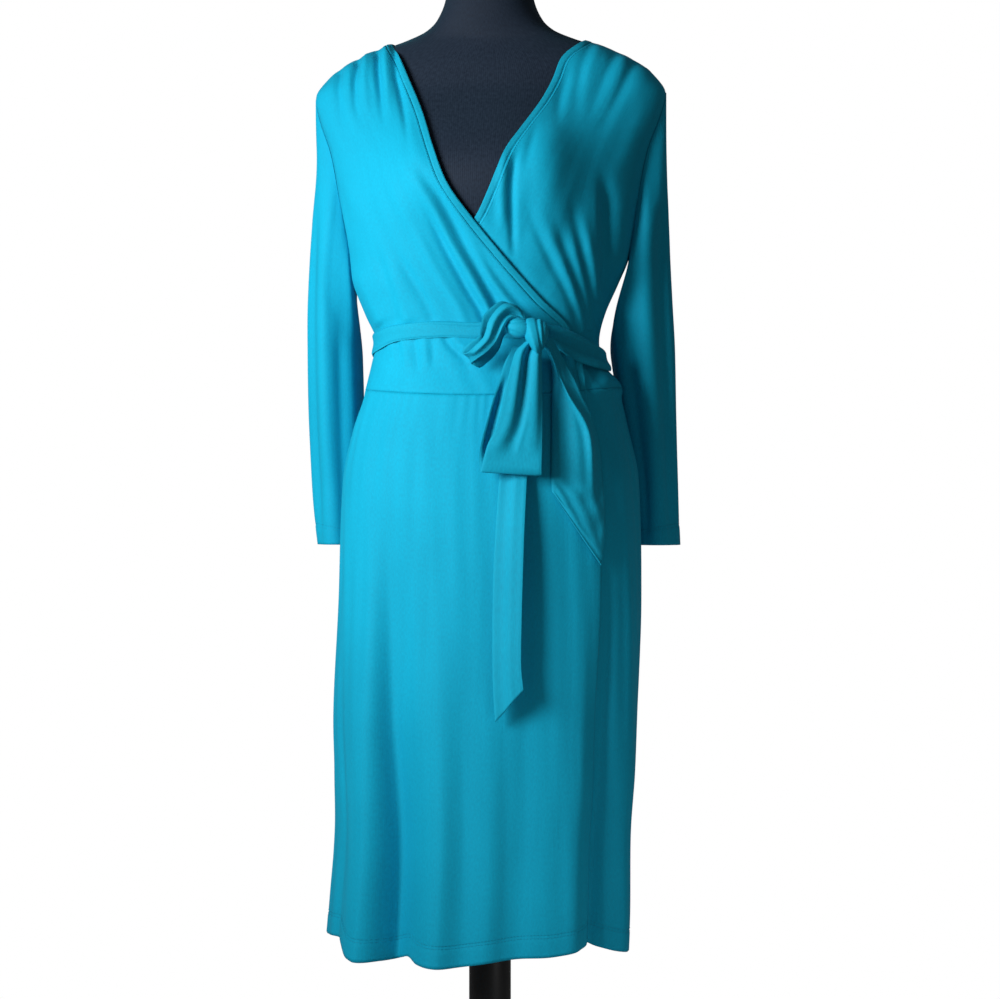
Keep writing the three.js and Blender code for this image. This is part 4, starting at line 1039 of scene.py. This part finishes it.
for finish, pieces in STANDS_FOR.items():
    for piece, node in pieces:
        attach(piece, "root")
        if node:
            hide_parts(node)
        "dress_jersey" if finish == "thread" else finish
        piece.data.materials.append(FINISHES[finish])

# Cloth sheets: cut width and length, flat area, how each is held, what it rests on and what is sewn on it
SHEETS = [
    (upper_front, (0.36, 0.47), 0.105, "gathered", ["form_body", "front_under"], [upper_band, band_stitches]),
    (under_front, (0.36, 0.47), 0.105, "gathered", ["form_body"], [under_band]),
    (back_cloth, (0.44, 0.46), 0.16, "gathered", ["form_body"], [back_band]),
    (left_sleeve, (0.34, 0.56), 0.13, "hung", ["bodice_back", "front_upper"], [cuff_stitches]),
    (right_sleeve, (0.34, 0.56), 0.13, "hung", ["bodice_back", "front_under"], []),
    (upper_skirt, (0.50, 0.66), 0.27, "hung", ["front_upper", "skirt_under"], [hem_stitches]),
    (under_skirt, (0.46, 0.66), 0.25, "hung", ["front_under"], []),
    (back_skirt, (0.58, 0.66), 0.32, "hung", ["bodice_back"], []),
    (sash, (0.028, 0.74), None, "folded", ["front_upper", "bodice_back"], [bow_knot, knot_wrap]),
    (side_loop, (0.03, 0.165), None, "folded", ["sash_knot"], []),
    (hanging_loop, (0.055, 0.28), None, "folded", ["sash_knot"], []),
    (long_tail, (0.034, 0.40), None, "hung", ["sash_knot"], [tail_stitches]),
    (wide_tail, (0.052, 0.24), None, "hung", ["sash_knot"], []),
]
for piece, flat, area, held, rests_on, sewn_on in SHEETS:
    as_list(rests_on)
    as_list(sewn_on)


WHITE = (1, 1, 1, 1)


def floor():
    """A plain pale round floor. Only the camera sees its faint glow, so it lights nothing."""
    radius, corners = 1100, 96
    turn = 2 * np.pi * np.arange(corners) / corners
    ring = np.stack([radius * np.cos(turn), radius * np.sin(turn), 0 * turn - 0.5], -1)
    disc = mesh_piece("studio_floor", ring, [tuple(range(corners))])
    material = bpy.data.materials.new("pale_floor")
    nodes, links, shader = node_tree(material)
    fill_in(shader, {"Base Color": (0.82, 0.82, 0.82, 1), "Roughness": 0.7, "Emission Color": WHITE})
    ray = nodes.new("ShaderNodeLightPath")
    pale = maths(material.node_tree, "MULTIPLY", ray.outputs["Is Camera Ray"], 0.42)
    links.new(pale, shader.inputs["Emission Strength"])
    disc.data.materials.append(material)


def area_light(name, place_at, aim, size, power, spread):
    """A square soft light that faces the point aim."""
    data = bpy.data.lights.new(name, "AREA")
    data.shape, data.size, data.energy, data.spread = "SQUARE", size, power, np.radians(spread)
    lamp = add(name, data)
    away = np.array(place_at) - np.array(aim)
    lamp.location = place_at
    lamp.rotation_euler = (np.arctan2(np.hypot(away[0], away[1]), away[2]), 0, np.arctan2(away[0], -away[1]))


def studio():
    """White behind the object, a weak even fill, a near light at the left, a faint low one at the right."""
    world = bpy.data.worlds.new("studio")
    bpy.context.scene.world = world
    world.use_nodes = True
    nodes, links = world.node_tree.nodes, world.node_tree.links
    fill, seen = nodes["Background"], nodes.new("ShaderNodeBackground")
    ray, choose = nodes.new("ShaderNodeLightPath"), nodes.new("ShaderNodeMixShader")
    links.new(ray.outputs["Is Camera Ray"], choose.inputs[0])
    for socket, shader, strength in ((1, fill, 0.125), (2, seen, 1.0)):
        fill_in(shader, {"Color": WHITE, "Strength": strength})
        links.new(shader.outputs[0], choose.inputs[socket])
    links.new(choose.outputs[0], nodes["World Output"].inputs["Surface"])
    area_light("key", (-0.86, -1.08, 1.22), (0, 0.0, 1.12), 0.6, 10.8, 110)
    area_light("low", (0.95, -1.1, 0.40), (0.16, -0.1, 0.42), 0.4, 0.22, 50)
    bpy.context.scene.view_settings.view_transform = "Standard"


def camera():
    """The photograph's view: level, 6 degrees from the right, 843 mm high, 2.8 m from the object's axis."""
    data = bpy.data.cameras.new("camera")
    data.lens, data.sensor_width = 87.7, 36
    data.clip_end = 20
    thing = add("camera", data)
    a = np.radians(6.0)
    right = 0.0115  # the axis stands this far left of the picture's middle
    thing.location = (2.8 * np.sin(a) + right * np.cos(a), -2.8 * np.cos(a) + right * np.sin(a), 0.843)
    thing.rotation_euler = (np.pi / 2, 0, a)
    bpy.context.scene.camera = thing


floor()
studio()
camera()
